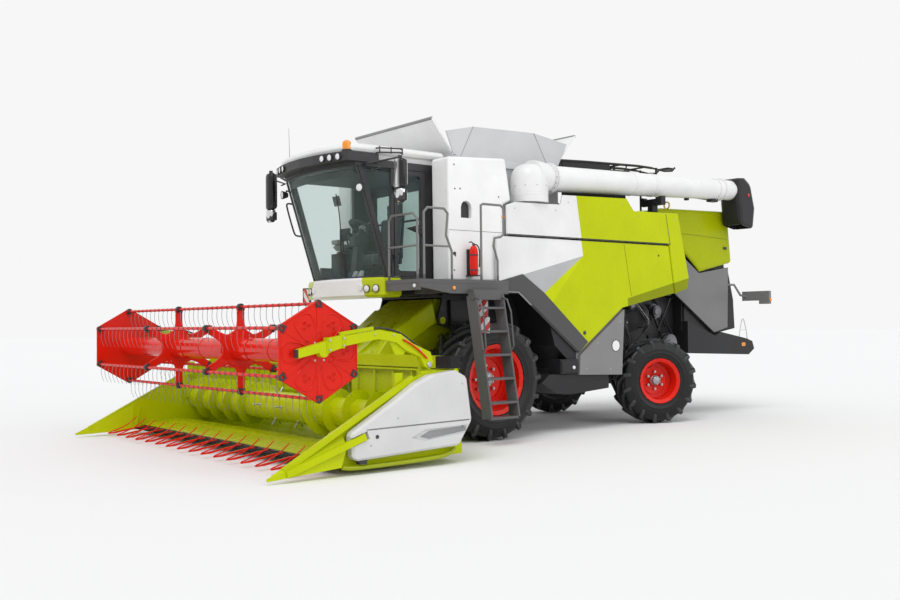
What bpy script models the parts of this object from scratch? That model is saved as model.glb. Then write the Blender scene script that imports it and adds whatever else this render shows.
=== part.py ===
"""Combine harvester with its grain header, at its real size.

Metres, +Z up, +X forward, +Y to the machine's left, floor at z = 0.
Every place along X below is counted from the front axle, and one parent
empty then carries the whole machine so that its box is centred on X = 0.
"""

import math

import bmesh
import bpy
from mathutils import Matrix, Vector

# Driving dimensions, counted from the front axle
TIP_REACH = 4.14
REAR_REACH = 6.36
FRONT_AXLE_X = (REAR_REACH - TIP_REACH) / 2
WHEELBASE = 3.555
SEAT_GAP = 0.0003
RUNNING_GAP = 0.008
PIN_GAP = 0.0005

# Wheels
FRONT_TYRE_R = 0.82
FRONT_TYRE_WIDTH = 0.62
FRONT_RIM_R = 0.462
FRONT_TRACK_HALF = 1.24
REAR_TYRE_R = 0.66
REAR_TYRE_WIDTH = 0.44
REAR_RIM_R = 0.335
REAR_TRACK_HALF = 1.255
KINGPIN_HALF = 1.02
REST_STEER = math.radians(-20)
LUG_HEIGHT = 0.042
LUG_REACH = 0.93
WHEEL_SEGMENTS = 24

# Body
SIDE_HALF = 1.45
HINGE_Z = 2.77
BODY_HALF = 0.75
DECK_Z = 3.22
TANK_HALF = 0.98
TANK_FRONT = 0.30
TANK_REAR = -1.72
TANK_TOP = 3.90
TANK_FLOOR = 2.56
HOOD_HALF = 1.03

# Cab
CAB_HALF = 0.92
CAB_REAR = 0.40
CAB_FLOOR = 2.10
CAB_TOP = 3.72
SILL_FRONT = 1.32
HEAD_FRONT = 1.83
NOSE_BULGE = 0.13
PILLAR = 0.07
DOOR_FRONT = 1.22
DOOR_REAR = 0.72
DOOR_HINGE_Y = CAB_HALF + 0.022
DOOR_HINGES = (2.45, 3.35)
PLATFORM_OUT = 1.70
PLATFORM_Z = 2.14
RAIL_R = 0.017

# Header
HEADER_HALF = 2.78
COVER_OUT = HEADER_HALF + 0.16
TIP_HALF = COVER_OUT - 0.04
AUGER_X = 2.30
AUGER_Z = 0.50
AUGER_TUBE_R = 0.19
AUGER_R = 0.30
KNIFE_X = 3.16
KNIFE_Z = 0.09
BACK_X = 1.66
REEL_X = 3.43
REEL_Z = 1.296
REEL_HALF = HEADER_HALF - 0.08
REEL_R = 0.50
REEL_TUBE_R = 0.13
BAR_R = 0.018
TINE_LENGTH = 0.25
TINES = 20
ARM_PIVOT = (2.08, 1.12)
FEEDER_PIVOT = (0.30, 1.62)
LIFT_FOOT = (0.26, 0.58)
LIFT_EYE = (1.20, 0.37)
LIFT_Y = 0.43
FEEDER_HALF = 0.62
TRUNNION_R = 0.05
TRUNNION_OUT = BODY_HALF - 0.006

# Unloading tube
TUBE_AXIS = (-0.88, 1.25)
TUBE_R = 0.19
TUBE_START_Z = 3.64
TUBE_END_X = -5.56
TUBE_END_Z = 3.79


def clear_scene():
    for obj in list(bpy.data.objects):
        bpy.data.objects.remove(obj, do_unlink=True)


clear_scene()
PARTS = bpy.data.collections.new("combine_harvester")
bpy.context.scene.collection.children.link(PARTS)
MACHINE = bpy.data.objects.new("machine_frame", None)
MACHINE.location = (FRONT_AXLE_X, 0, 0)
PARTS.objects.link(MACHINE)


def paint(name, colour, roughness, metallic=0.0, alpha=1.0):
    material = bpy.data.materials.new(name)
    material.use_nodes = True
    shader = material.node_tree.nodes["Principled BSDF"]
    shader.inputs["Base Color"].default_value = (*colour, 1)
    shader.inputs["Roughness"].default_value = roughness
    shader.inputs["Metallic"].default_value = metallic
    shader.inputs["Alpha"].default_value = alpha
    material.diffuse_color = (*colour, alpha)
    return material


LIME = paint("lime_paint", (0.50, 0.62, 0.01), 0.3)
WHITE = paint("white_paint", (0.80, 0.80, 0.79), 0.35)
GREY = paint("grey_paint", (0.12, 0.12, 0.13), 0.45)
BLACK = paint("black_paint", (0.02, 0.02, 0.022), 0.5)
RED = paint("red_paint", (0.75, 0.03, 0.01), 0.3)
RUBBER = paint("tyre_rubber", (0.018, 0.018, 0.018), 0.85)
STEEL = paint("plain_steel", (0.45, 0.45, 0.46), 0.35, 1.0)
GLASS = paint("tinted_glass", (0.35, 0.55, 0.5), 0.05, 0.0, 0.35)
SEAT_CLOTH = paint("seat_cloth", (0.05, 0.05, 0.055), 0.9)
TANK_SHEET = paint("tank_sheet", (0.62, 0.63, 0.63), 0.4)


# Helpers that make loose solids


def solid_from(bm, name="piece"):
    mesh = bpy.data.meshes.new(name)
    bmesh.ops.recalc_face_normals(bm, faces=bm.faces)
    bm.to_mesh(mesh)
    bm.free()
    obj = bpy.data.objects.new(name, mesh)
    bpy.context.scene.collection.objects.link(obj)
    return obj


def evaluated_solid(obj, weld=True, flat=False):
    """The object as its modifiers or its curve make it, as a plain mesh object."""
    graph = bpy.context.evaluated_depsgraph_get()
    mesh = bpy.data.meshes.new_from_object(obj.evaluated_get(graph))
    place = obj.matrix_world.copy()
    bpy.data.objects.remove(obj, do_unlink=True)
    bm = bmesh.new()
    bm.from_mesh(mesh)
    bpy.data.meshes.remove(mesh)
    bm.transform(place)
    if weld:
        bmesh.ops.remove_doubles(bm, verts=bm.verts, dist=0.00001)
    if flat:
        bmesh.ops.triangulate(bm, faces=bm.faces)
    return solid_from(bm)


def box(x0, x1, y0, y1, z0, z1):
    bm = bmesh.new()
    bmesh.ops.create_cube(bm, size=1)
    bmesh.ops.scale(bm, vec=(abs(x1 - x0), abs(y1 - y0), abs(z1 - z0)), verts=bm.verts)
    bmesh.ops.translate(bm, vec=((x0 + x1) / 2, (y0 + y1) / 2, (z0 + z1) / 2), verts=bm.verts)
    return solid_from(bm)


def rod(start, end, radius, segments=12, end_radius=None, turn=0.0):
    """A round bar, or a cone where end_radius is given, between two points."""
    start, end = Vector(start), Vector(end)
    along = end - start
    bm = bmesh.new()
    bmesh.ops.create_cone(
        bm,
        cap_ends=True,
        segments=segments,
        radius1=radius,
        radius2=radius if end_radius is None else end_radius,
        depth=along.length,
    )
    bm.transform(Matrix.Rotation(turn, 4, "Z"))
    bm.transform(along.to_track_quat("Z", "Y").to_matrix().to_4x4())
    bmesh.ops.translate(bm, vec=(start + end) / 2, verts=bm.verts)
    return solid_from(bm)


def beam(start, end, width, height):
    """A square bar between two points, its height kept upright."""
    start, end = Vector(start), Vector(end)
    along = end - start
    bm = bmesh.new()
    bmesh.ops.create_cube(bm, size=1)
    bmesh.ops.scale(bm, vec=(height, width, along.length), verts=bm.verts)
    side = Vector((0, 0, 1)).cross(along)
    if side.length < 0.0001:
        side = Vector((0, 1, 0))
    side.normalize()
    ahead = along.normalized()
    over = side.cross(ahead)
    turn = Matrix((over, side, ahead)).transposed().to_4x4()
    bm.transform(Matrix.Translation((start + end) / 2) @ turn)
    return solid_from(bm)


ACROSS = {
    "X": Matrix(((0, 0, 1, 0), (1, 0, 0, 0), (0, 1, 0, 0), (0, 0, 0, 1))),
    "Y": Matrix(((1, 0, 0, 0), (0, 0, -1, 0), (0, 1, 0, 0), (0, 0, 0, 1))),
    "Z": Matrix.Identity(4),
}


def slab(points, low, high, axis="Y"):
    """A flat outline across an axis, from low to high along it."""
    curve = bpy.data.curves.new("outline", "CURVE")
    curve.dimensions = "2D"
    curve.fill_mode = "BOTH"
    curve.extrude = (high - low) / 2
    spline = curve.splines.new("POLY")
    spline.points.add(len(points) - 1)
    for point, (u, v) in zip(spline.points, points):
        point.co = (u, v, 0, 1)
    spline.use_cyclic_u = True
    obj = bpy.data.objects.new("outline", curve)
    bpy.context.scene.collection.objects.link(obj)
    middle = {"X": ((low + high) / 2, 0, 0), "Y": (0, (low + high) / 2, 0), "Z": (0, 0, (low + high) / 2)}
    obj.matrix_world = Matrix.Translation(middle[axis]) @ ACROSS[axis]
    bpy.context.view_layer.update()
    return evaluated_solid(obj)


def pipe(points, radius, sides=8, closed=False):
    """A bent tube or wire through some points, with filled ends."""
    curve = bpy.data.curves.new("pipe", "CURVE")
    curve.dimensions = "3D"
    curve.bevel_depth = radius
    curve.bevel_resolution = max(sides // 2 - 2, 0)
    curve.use_fill_caps = not closed
    spline = curve.splines.new("POLY")
    spline.points.add(len(points) - 1)
    for point, place in zip(spline.points, points):
        point.co = (*place, 1)
    spline.use_cyclic_u = closed
    obj = bpy.data.objects.new("pipe", curve)
    bpy.context.scene.collection.objects.link(obj)
    bpy.context.view_layer.update()
    return evaluated_solid(obj, flat=True)


def turned(profile, centre, segments, phase=0.0):
    """A closed profile of (radius, y) points turned about the line through the centre along Y."""
    mesh = bpy.data.meshes.new("profile")
    points = [(r, 0, y) for r, y in profile]
    edges = [(i, (i + 1) % len(points)) for i in range(len(points))]
    mesh.from_pydata(points, edges, [])
    obj = bpy.data.objects.new("profile", mesh)
    bpy.context.scene.collection.objects.link(obj)
    screw = obj.modifiers.new("turn", "SCREW")
    screw.steps = segments
    screw.render_steps = segments
    screw.use_merge_vertices = True
    screw.merge_threshold = 0.00005
    turn = Matrix.Rotation(math.radians(-90), 4, "X") @ Matrix.Rotation(phase, 4, "Z")
    obj.matrix_world = Matrix.Translation(centre) @ turn
    bpy.context.view_layer.update()
    return evaluated_solid(obj)


def joined(pieces):
    """Loose solids that don't touch, as one mesh for a single Boolean."""
    bm = bmesh.new()
    for piece in pieces:
        bm.from_mesh(piece.data)
        bpy.data.objects.remove(piece, do_unlink=True)
    return solid_from(bm)


def combine(base, others, operation):
    for other in others:
        step = base.modifiers.new("step", "BOOLEAN")
        step.operation = operation
        step.object = other
        step.solver = "EXACT"
    bpy.context.view_layer.update()
    result = evaluated_solid(base, weld=False)
    for other in others:
        bpy.data.objects.remove(other, do_unlink=True)
    return result


def fuse(pieces):
    return combine(pieces[0], pieces[1:], "UNION")


def cut(base, cutters):
    return combine(base, cutters, "DIFFERENCE")


def bevelled(obj, width, segments=2, angle=40):
    bevel = obj.modifiers.new("edge", "BEVEL")
    bevel.width = width
    bevel.segments = segments
    bevel.limit_method = "ANGLE"
    bevel.angle_limit = math.radians(angle)
    bpy.context.view_layer.update()
    return evaluated_solid(obj)


def mirrored(obj):
    """A copy on the other side of the machine's middle plane."""
    bm = bmesh.new()
    bm.from_mesh(obj.data)
    bmesh.ops.scale(bm, vec=(1, -1, 1), verts=bm.verts)
    bmesh.ops.reverse_faces(bm, faces=bm.faces)
    return solid_from(bm)


def moved(obj, matrix):
    obj.data.transform(matrix)
    return obj


def part(name, obj, material, pivot=(0, 0, 0), smooth=35):
    """Names a finished sub-part, gives it its paint and puts its origin on its pivot."""
    obj.name = name
    obj.data.name = name
    obj.data.transform(Matrix.Translation(-Vector(pivot)))
    obj.data.materials.clear()
    obj.data.materials.append(material)
    obj.data.shade_smooth()
    obj.data.set_sharp_from_angle(angle=math.radians(smooth))
    for collection in list(obj.users_collection):
        collection.objects.unlink(obj)
    PARTS.objects.link(obj)
    obj.parent = MACHINE
    obj.location = pivot
    return obj


SIDES = (("left", 1), ("right", -1))


# Grain header


def header_frame():
    """Table, back wall, side sheets, dividers and skids, all welded together."""
    sheet = 0.03
    trough = []
    for step in range(9):
        turn = math.radians(-60 - step * 15)
        trough.append((AUGER_X + 0.37 * math.cos(turn), AUGER_Z + 0.37 * math.sin(turn)))
    upper = [(KNIFE_X, KNIFE_Z + 0.06), (2.75, 0.19)] + trough
    upper += [(BACK_X + 0.04, 0.62), (BACK_X + 0.04, 1.10)]
    lower = [(x + 0.012, z - sheet) for x, z in upper[:3]]
    lower += [(AUGER_X + (x - AUGER_X) * 1.09, AUGER_Z + (z - AUGER_Z) * 1.09) for x, z in trough[1:-1]]
    lower += [(BACK_X, 0.50), (BACK_X, 1.10)]
    table = slab(upper + lower[::-1], -HEADER_HALF, HEADER_HALF)
    pieces = [table, box(BACK_X - 0.04, BACK_X + 0.10, -HEADER_HALF, HEADER_HALF, 1.06, 1.20)]
    pieces.append(box(BACK_X - 0.05, BACK_X + 0.02, -HEADER_HALF, HEADER_HALF, 0.10, 0.22))
    pieces.append(box(BACK_X - 0.04, BACK_X + 0.02, -0.75, 0.75, 0.20, 1.08))
    side_outline = [
        (3.36, 0.08), (3.36, 0.44), (2.72, 0.74), (2.34, 0.96), (2.10, 1.04), (1.66, 1.05),
        (1.62, 0.10),
    ]
    for _, sign in SIDES:
        inner, outer = sorted((sign * (HEADER_HALF - 0.03), sign * (HEADER_HALF + 0.0195)))
        pieces.append(slab(side_outline, inner, outer))
        pieces.append(divider(sign))
        pieces.append(beam((1.70, sign * 2.2, 0.13), (3.05, sign * 2.2, 0.07), 0.10, 0.04))
        for brace_y in (0.9, 1.9):
            pieces.append(beam((1.63, sign * brace_y, 0.2), (1.63, sign * brace_y, 1.1), 0.06, 0.06))
        post_y = sign * (HEADER_HALF - 0.045)
        pieces.append(beam((2.46, post_y, 0.84), (2.46, post_y, 1.04), 0.05, 0.10))
        block_in, block_out = sorted((sign * (REEL_HALF + 0.002), sign * (HEADER_HALF + 0.01)))
        pieces.append(box(1.98, 2.18, block_in, block_out, 0.98, 1.055))
        ear_in, ear_out = sorted((sign * REEL_HALF, sign * (REEL_HALF + 0.0247)))
        pieces.append(slab([(1.99, 1.04), (2.17, 1.04), (2.12, 1.17), (2.04, 1.17)], ear_in, ear_out))
    frame = fuse(pieces)
    mouth = box(1.5, 1.9, -0.60, 0.60, 0.30, 0.98)
    return cut(frame, [mouth])


def divider(sign):
    """A long tapering crop divider with its raised upper bar and outer bar."""
    bm = bmesh.new()
    inner, outer = HEADER_HALF - 0.04, COVER_OUT - 0.02
    rear = [(3.30, inner, 0.07), (3.30, outer, 0.10), (3.22, outer - 0.02, 0.30), (3.22, inner + 0.01, 0.50)]
    corners = [bm.verts.new((x, sign * y, z)) for x, y, z in rear]
    tip = [(TIP_REACH, TIP_HALF - 0.02, 0.035), (TIP_REACH, TIP_HALF, 0.035), (TIP_REACH, TIP_HALF, 0.06)]
    tip.append((TIP_REACH, TIP_HALF - 0.02, 0.06))
    ends = [bm.verts.new((x, sign * y, z)) for x, y, z in tip]
    bm.faces.new(corners)
    bm.faces.new(ends[::-1])
    for a in range(4):
        b = (a + 1) % 4
        bm.faces.new((corners[b], corners[a], ends[a], ends[b]))
    nose = solid_from(bm)
    crest = beam(
        (3.95, sign * (TIP_HALF - 0.03), 0.12), (2.30, sign * (HEADER_HALF + 0.01), 0.98), 0.05,
        0.06,
    )
    spear = beam(
        (3.93, sign * (TIP_HALF - 0.005), 0.085), (3.02, sign * (COVER_OUT - 0.005), 0.40), 0.055,
        0.07,
    )
    return fuse([nose, crest, spear])


def header_cover(sign):
    """White end cover with its pressed groove."""
    outline = [(1.80, 1.05), (1.64, 0.97), (1.57, 0.48), (1.76, 0.21), (3.10, 0.15), (3.17, 0.18)]
    outline += [(3.19, 0.44), (2.69, 0.72), (2.34, 0.93), (2.15, 1.01)]
    inner, outer = sorted((sign * (HEADER_HALF + 0.0203 + SEAT_GAP), sign * COVER_OUT))
    cover = bevelled(slab(outline, inner, outer), 0.025, 1)
    face = sign * COVER_OUT
    groove_in, groove_out = sorted((face - sign * 0.02, face + sign * 0.05))
    line = slab([(1.50, 0.50), (3.0, 0.475), (3.0, 0.46), (1.50, 0.485)], groove_in, groove_out)
    step = slab([(1.50, 0.44), (2.25, 0.42), (2.42, 0.34), (2.25, 0.30), (1.50, 0.36)], groove_in, groove_out)
    spear_slot = beam((3.60, face - sign * 0.005, 0.20), (2.98, face - sign * 0.005, 0.415), 0.07, 0.09)
    crest_slot = beam(
        (3.95, sign * (TIP_HALF - 0.03), 0.12), (2.27, sign * (HEADER_HALF + 0.01), 0.996), 0.054,
        0.07,
    )
    return cut(cover, [line, step, spear_slot, crest_slot])


def cutter_bar():
    """Knife back, its guards and the long crop lifters, which it carries."""
    reach = HEADER_HALF - 0.05
    pieces = [box(KNIFE_X + 0.0125, KNIFE_X + 0.09, -reach, reach, KNIFE_Z - 0.02, KNIFE_Z + 0.05)]
    guards = []
    lifters = []
    lifter_count = 16
    pitch = 2 * (reach - 0.12) / (lifter_count - 1)
    for number in range(lifter_count):
        y = -reach + 0.12 + number * pitch
        runner = [
            (KNIFE_X + 0.04, KNIFE_Z - 0.010), (KNIFE_X + 0.04, KNIFE_Z + 0.020),
            (KNIFE_X + 0.58, KNIFE_Z + 0.005),
        ]
        finger = [(KNIFE_X + 0.17, KNIFE_Z + 0.19), (KNIFE_X + 0.19, KNIFE_Z + 0.155)]
        foot = [
            (KNIFE_X + 0.55, KNIFE_Z - 0.030), (KNIFE_X + 0.60, KNIFE_Z - 0.045),
            (KNIFE_X + 0.62, KNIFE_Z - 0.035),
        ]
        outline = [runner[0]] + foot + [
            runner[2], finger[0], finger[1], (KNIFE_X + 0.48, KNIFE_Z + 0.01), runner[1],
        ]
        lifters.append(slab(outline, y - 0.012, y + 0.012))
    for number in range(lifter_count - 1):
        y = -reach + 0.12 + (number + 0.5) * pitch
        guards.append(rod((KNIFE_X + 0.06, y, KNIFE_Z + 0.01), (KNIFE_X + 0.20, y, KNIFE_Z), 0.022, 4, 0.004))
    return fuse(pieces + [joined(lifters), joined(guards)])


def flight(start_y, end_y, turns, hand):
    """One helical flight as a closed strip wound round the auger tube."""
    steps = int(abs(turns) * 9)
    half = 0.006
    bm = bmesh.new()
    rings = []
    for step in range(steps + 1):
        share = step / steps
        angle = hand * 2 * math.pi * turns * share
        y = start_y + (end_y - start_y) * share
        ring = []
        for radius, shift in (
            (AUGER_TUBE_R - 0.012, -half), (AUGER_R, -half), (AUGER_R, half),
            (AUGER_TUBE_R - 0.012, half),
        ):
            place = (AUGER_X + radius * math.cos(angle), y + shift, AUGER_Z + radius * math.sin(angle))
            ring.append(bm.verts.new(place))
        rings.append(ring)
    for first, second in zip(rings, rings[1:]):
        for a in range(4):
            b = (a + 1) % 4
            bm.faces.new((first[a], first[b], second[b], second[a]))
    bm.faces.new(rings[0])
    bm.faces.new(rings[-1])
    bmesh.ops.triangulate(bm, faces=bm.faces)
    return solid_from(bm)


def intake_auger():
    reach = HEADER_HALF - 0.03 - RUNNING_GAP
    tube = rod((AUGER_X, -reach, AUGER_Z), (AUGER_X, reach, AUGER_Z), AUGER_TUBE_R, 16, turn=0.07)
    stub = rod((AUGER_X, -HEADER_HALF + 0.0303, AUGER_Z), (AUGER_X, HEADER_HALF - 0.0303, AUGER_Z), 0.04, 12)
    flights = [flight(reach - 0.02, 0.62, 3.0, 1), flight(-reach + 0.02, -0.62, 3.0, 1)]
    fingers = []
    for row in range(4):
        y = -0.45 + row * 0.30
        for spoke in range(3):
            angle = math.radians(120 * spoke + 60 * (row % 2) + 5)
            out = Vector((math.cos(angle), 0, math.sin(angle)))
            centre = Vector((AUGER_X, y, AUGER_Z))
            fingers.append(
                rod(centre + out * (AUGER_TUBE_R - 0.02), centre + out * (AUGER_R - 0.01), 0.009, 4)
            )
    return fuse([tube, stub] + flights + [joined(fingers)])


def hexagon(radius):
    corners = []
    for corner in range(6):
        angle = math.radians(30 + 60 * corner)
        corners.append((REEL_X + radius * math.cos(angle), REEL_Z + radius * math.sin(angle)))
    return corners


def spider(y):
    """Pressed six armed support, cup shaped at each tine bar."""
    points = []
    for corner in range(6):
        middle = 30 + 60 * corner
        for radius, turn in (
            (0.205, -30), (0.24, -12), (REEL_R - 0.05, -5), (REEL_R - 0.008, -6.5),
            (REEL_R - BAR_R - 0.008, 0), (REEL_R - 0.008, 6.5), (REEL_R - 0.05, 5), (0.24, 12),
        ):
            angle = math.radians(middle + turn)
            points.append((REEL_X + radius * math.cos(angle), REEL_Z + radius * math.sin(angle)))
    return slab(points, y - 0.012, y + 0.012)


def reel_frame():
    """Central tube, two solid end plates with pressed ribs and two open supports."""
    ends = REEL_HALF + 0.0227
    pieces = [rod((REEL_X, -REEL_HALF, REEL_Z), (REEL_X, REEL_HALF, REEL_Z), REEL_TUBE_R, 18)]
    pieces.append(rod((REEL_X, -ends, REEL_Z), (REEL_X, ends, REEL_Z), 0.05, 12))
    for sign in (1, -1):
        inner, outer = sorted((sign * (REEL_HALF - 0.02), sign * REEL_HALF))
        plate = slab(hexagon(REEL_R + 0.045), inner, outer)
        ribs = []
        for corner in range(6):
            angle = math.radians(30 + 60 * corner)
            out = Vector((math.cos(angle), 0, math.sin(angle)))
            face = Vector((REEL_X, sign * (REEL_HALF - 0.002), REEL_Z))
            ribs.append(beam(face + out * 0.20, face + out * (REEL_R - 0.05), 0.016, 0.05))
        pieces += [plate, joined(ribs)]
        pieces.append(spider(sign * REEL_HALF / 3))
    return fuse(pieces)


def tine_bar(corner):
    """One tine bar with its row of spring tines, which always hang down, and its axis."""
    angle = math.radians(30 + 60 * corner)
    x = REEL_X + REEL_R * math.cos(angle)
    z = REEL_Z + REEL_R * math.sin(angle)
    reach = REEL_HALF - 0.02 - SEAT_GAP
    bar = rod((x, -reach, z), (x, reach, z), BAR_R, 8, turn=math.radians(22.5))
    tines = []
    pitch = 2 * (reach - 0.10) / (TINES - 1)
    for number in range(TINES):
        y = -reach + 0.10 + number * pitch
        tines.append(rod((x, y, z - 0.002), (x - 0.03, y, z - TINE_LENGTH), 0.009, 3, 0.0035))
    return fuse([bar, joined(tines)]), (x, 0, z)


def reel_arm(sign):
    """Bent box arm from its pivot over to the reel's bearing."""
    near, far = REEL_HALF + 0.025, REEL_HALF + 0.105
    inner, outer = sorted((sign * near, sign * far))
    middle = sign * (near + far) / 2
    px, pz = ARM_PIVOT
    top = [(px - 0.06, pz + 0.02), (px - 0.02, pz + 0.14), (2.30, 1.36), (2.46, 1.465), (2.73, 1.515)]
    top += [(3.20, 1.455), (REEL_X + 0.30, 1.325)]
    low = [(REEL_X + 0.30, 1.235), (3.20, 1.345), (2.75, 1.415), (2.52, 1.375), (2.40, 1.29)]
    low += [(px + 0.12, pz + 0.09), (px + 0.06, pz - 0.02), (px, pz - 0.05)]
    arm = slab(top + low, inner, outer)
    hub = rod((REEL_X, inner - 0.002, REEL_Z), (REEL_X, outer + 0.002, REEL_Z), 0.06, 14)
    sleeve_in, sleeve_out = sorted((sign * (near + 0.01), sign * (far + 0.012)))
    sleeve = slab([(3.18, 1.34), (3.18, 1.47), (3.40, 1.43), (3.40, 1.28)], sleeve_in, sleeve_out)
    strut = beam((3.22, middle, 1.475), (2.80, middle, 1.53), 0.035, 0.04)
    ear = slab([(2.40, 1.24), (2.52, 1.24), (2.60, 1.40), (2.36, 1.33)], middle - 0.012, middle + 0.012)
    return fuse([arm, hub, sleeve, strut, ear])


def rams(foot, eye, reach, barrel_r, rod_r, closed_share):
    """A pair of hydraulic rams between two cross shafts: both barrels, then both rods."""
    barrels = []
    bores = []
    stems = []
    for sign in (1, -1):
        low = Vector((foot[0], sign * reach, foot[1]))
        high = Vector((eye[0], sign * reach, eye[1]))
        along = (high - low).normalized()
        mouth = low.lerp(high, closed_share)
        wide = Vector((0, barrel_r, 0))
        barrels.append(rod(low + along * 0.02, mouth, barrel_r, 14))
        barrels.append(rod(low - wide, low + wide, barrel_r * 0.95, 12))
        bores.append(rod(low + along * 0.10, mouth + along * 0.05, rod_r + PIN_GAP, 12))
        stems.append(rod(low + along * 0.14, high, rod_r, 12))
        stems.append(rod(high - wide * 0.8, high + wide * 0.8, barrel_r * 0.9, 12))
    barrels.append(rod((foot[0], -reach, foot[1]), (foot[0], reach, foot[1]), rod_r, 10))
    stems.append(rod((eye[0], -reach, eye[1]), (eye[0], reach, eye[1]), rod_r * 0.9, 10))
    return cut(fuse(barrels), bores), fuse(stems)


def feeder_house():
    """Sloping feeder housing, round about its pivot, with the drive guard on its left."""
    px, pz = FEEDER_PIVOT
    drum = 0.30
    front = BACK_X - 0.0403
    outline = [(front, 1.02), (front, 0.26), (1.45, 0.27)]
    for step in range(9):
        angle = math.radians(-125 - step * 18)
        outline.append((px + drum * math.cos(angle), pz + drum * math.sin(angle)))
    housing = slab(outline, -FEEDER_HALF + 0.06, FEEDER_HALF - 0.06)
    lip = slab([(front, 1.10), (front, 0.24), (1.52, 0.235), (1.52, 1.14)], -0.66, 0.66)
    guard = [(1.20, 0.95), (1.40, 1.12), (1.16, 1.42), (0.43, 1.88), (0.36, 1.60), (0.78, 1.36)]
    left_guard = bevelled(slab(guard, FEEDER_HALF - 0.085, FEEDER_HALF + 0.08), 0.02, 1)
    right_outline = [(1.30, 0.80), (1.40, 1.05), (0.50, 1.78), (0.40, 1.60)]
    right_guard = slab(right_outline, -FEEDER_HALF - 0.02, -FEEDER_HALF + 0.08)
    ribs = joined([beam((0.80, y, 1.582), (1.45, y, 1.140), 0.04, 0.05) for y in (-0.30, 0.0, 0.30)])
    ear = [(1.06, 0.66), (1.14, 0.33), (1.26, 0.31), (1.42, 0.40)]
    ears = []
    for sign in (1, -1):
        low, high = sorted((sign * (LIFT_Y + 0.0443), sign * (LIFT_Y + 0.0643)))
        ears.append(slab(ear, low, high))
    trunnion = rod((px, -TRUNNION_OUT, pz), (px, TRUNNION_OUT, pz), TRUNNION_R, 40)
    house = fuse([housing, lip, left_guard, right_guard, ribs, joined(ears), trunnion])
    throat = slab([(1.7, 0.34), (1.7, 0.92), (1.25, 0.95), (1.25, 0.56)], -0.52, 0.52)
    return cut(house, [throat])


def make_header():
    lift = (FEEDER_PIVOT[0], 0, FEEDER_PIVOT[1])
    part("header_frame", header_frame(), LIME, lift)
    for side, sign in SIDES:
        part(f"header_cover_{side}", header_cover(sign), WHITE, lift)
    part("feeder_house", feeder_house(), LIME, lift)
    part("cutter_bar", cutter_bar(), RED, lift)
    part("intake_auger", intake_auger(), LIME, (AUGER_X, 0, AUGER_Z))
    part("reel_frame", reel_frame(), RED, (REEL_X, 0, REEL_Z))
    for corner in range(6):
        bar, axis = tine_bar(corner)
        part(f"tine_bar_{corner + 1}", bar, RED, axis)
    for side, sign in SIDES:
        part(f"reel_arm_{side}", reel_arm(sign), LIME, (ARM_PIVOT[0], 0, ARM_PIVOT[1]))
    barrels, stems = rams(LIFT_FOOT, LIFT_EYE, LIFT_Y, 0.055, 0.03, 0.62)
    part("lift_barrels", barrels, BLACK, (LIFT_FOOT[0], 0, LIFT_FOOT[1]))
    part("lift_rods", stems, STEEL, (LIFT_EYE[0], 0, LIFT_EYE[1]))


# Cab


def front_arc(x_side, bulge, half, steps=6):
    """Plan points of the bulging cab front, from the left corner to the right one."""
    points = []
    for step in range(steps + 1):
        share = 1 - 2 * step / steps
        points.append((x_side + bulge * (1 - share * share), half * share))
    return points


def plan(x_back, x_side, bulge, half):
    return [(x_back, -half), (x_back, half)] + front_arc(x_side, bulge, half)


def pillar_x(z):
    return SILL_FRONT + (HEAD_FRONT - SILL_FRONT) * (z - CAB_FLOOR) / (CAB_TOP - CAB_FLOOR)


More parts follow.
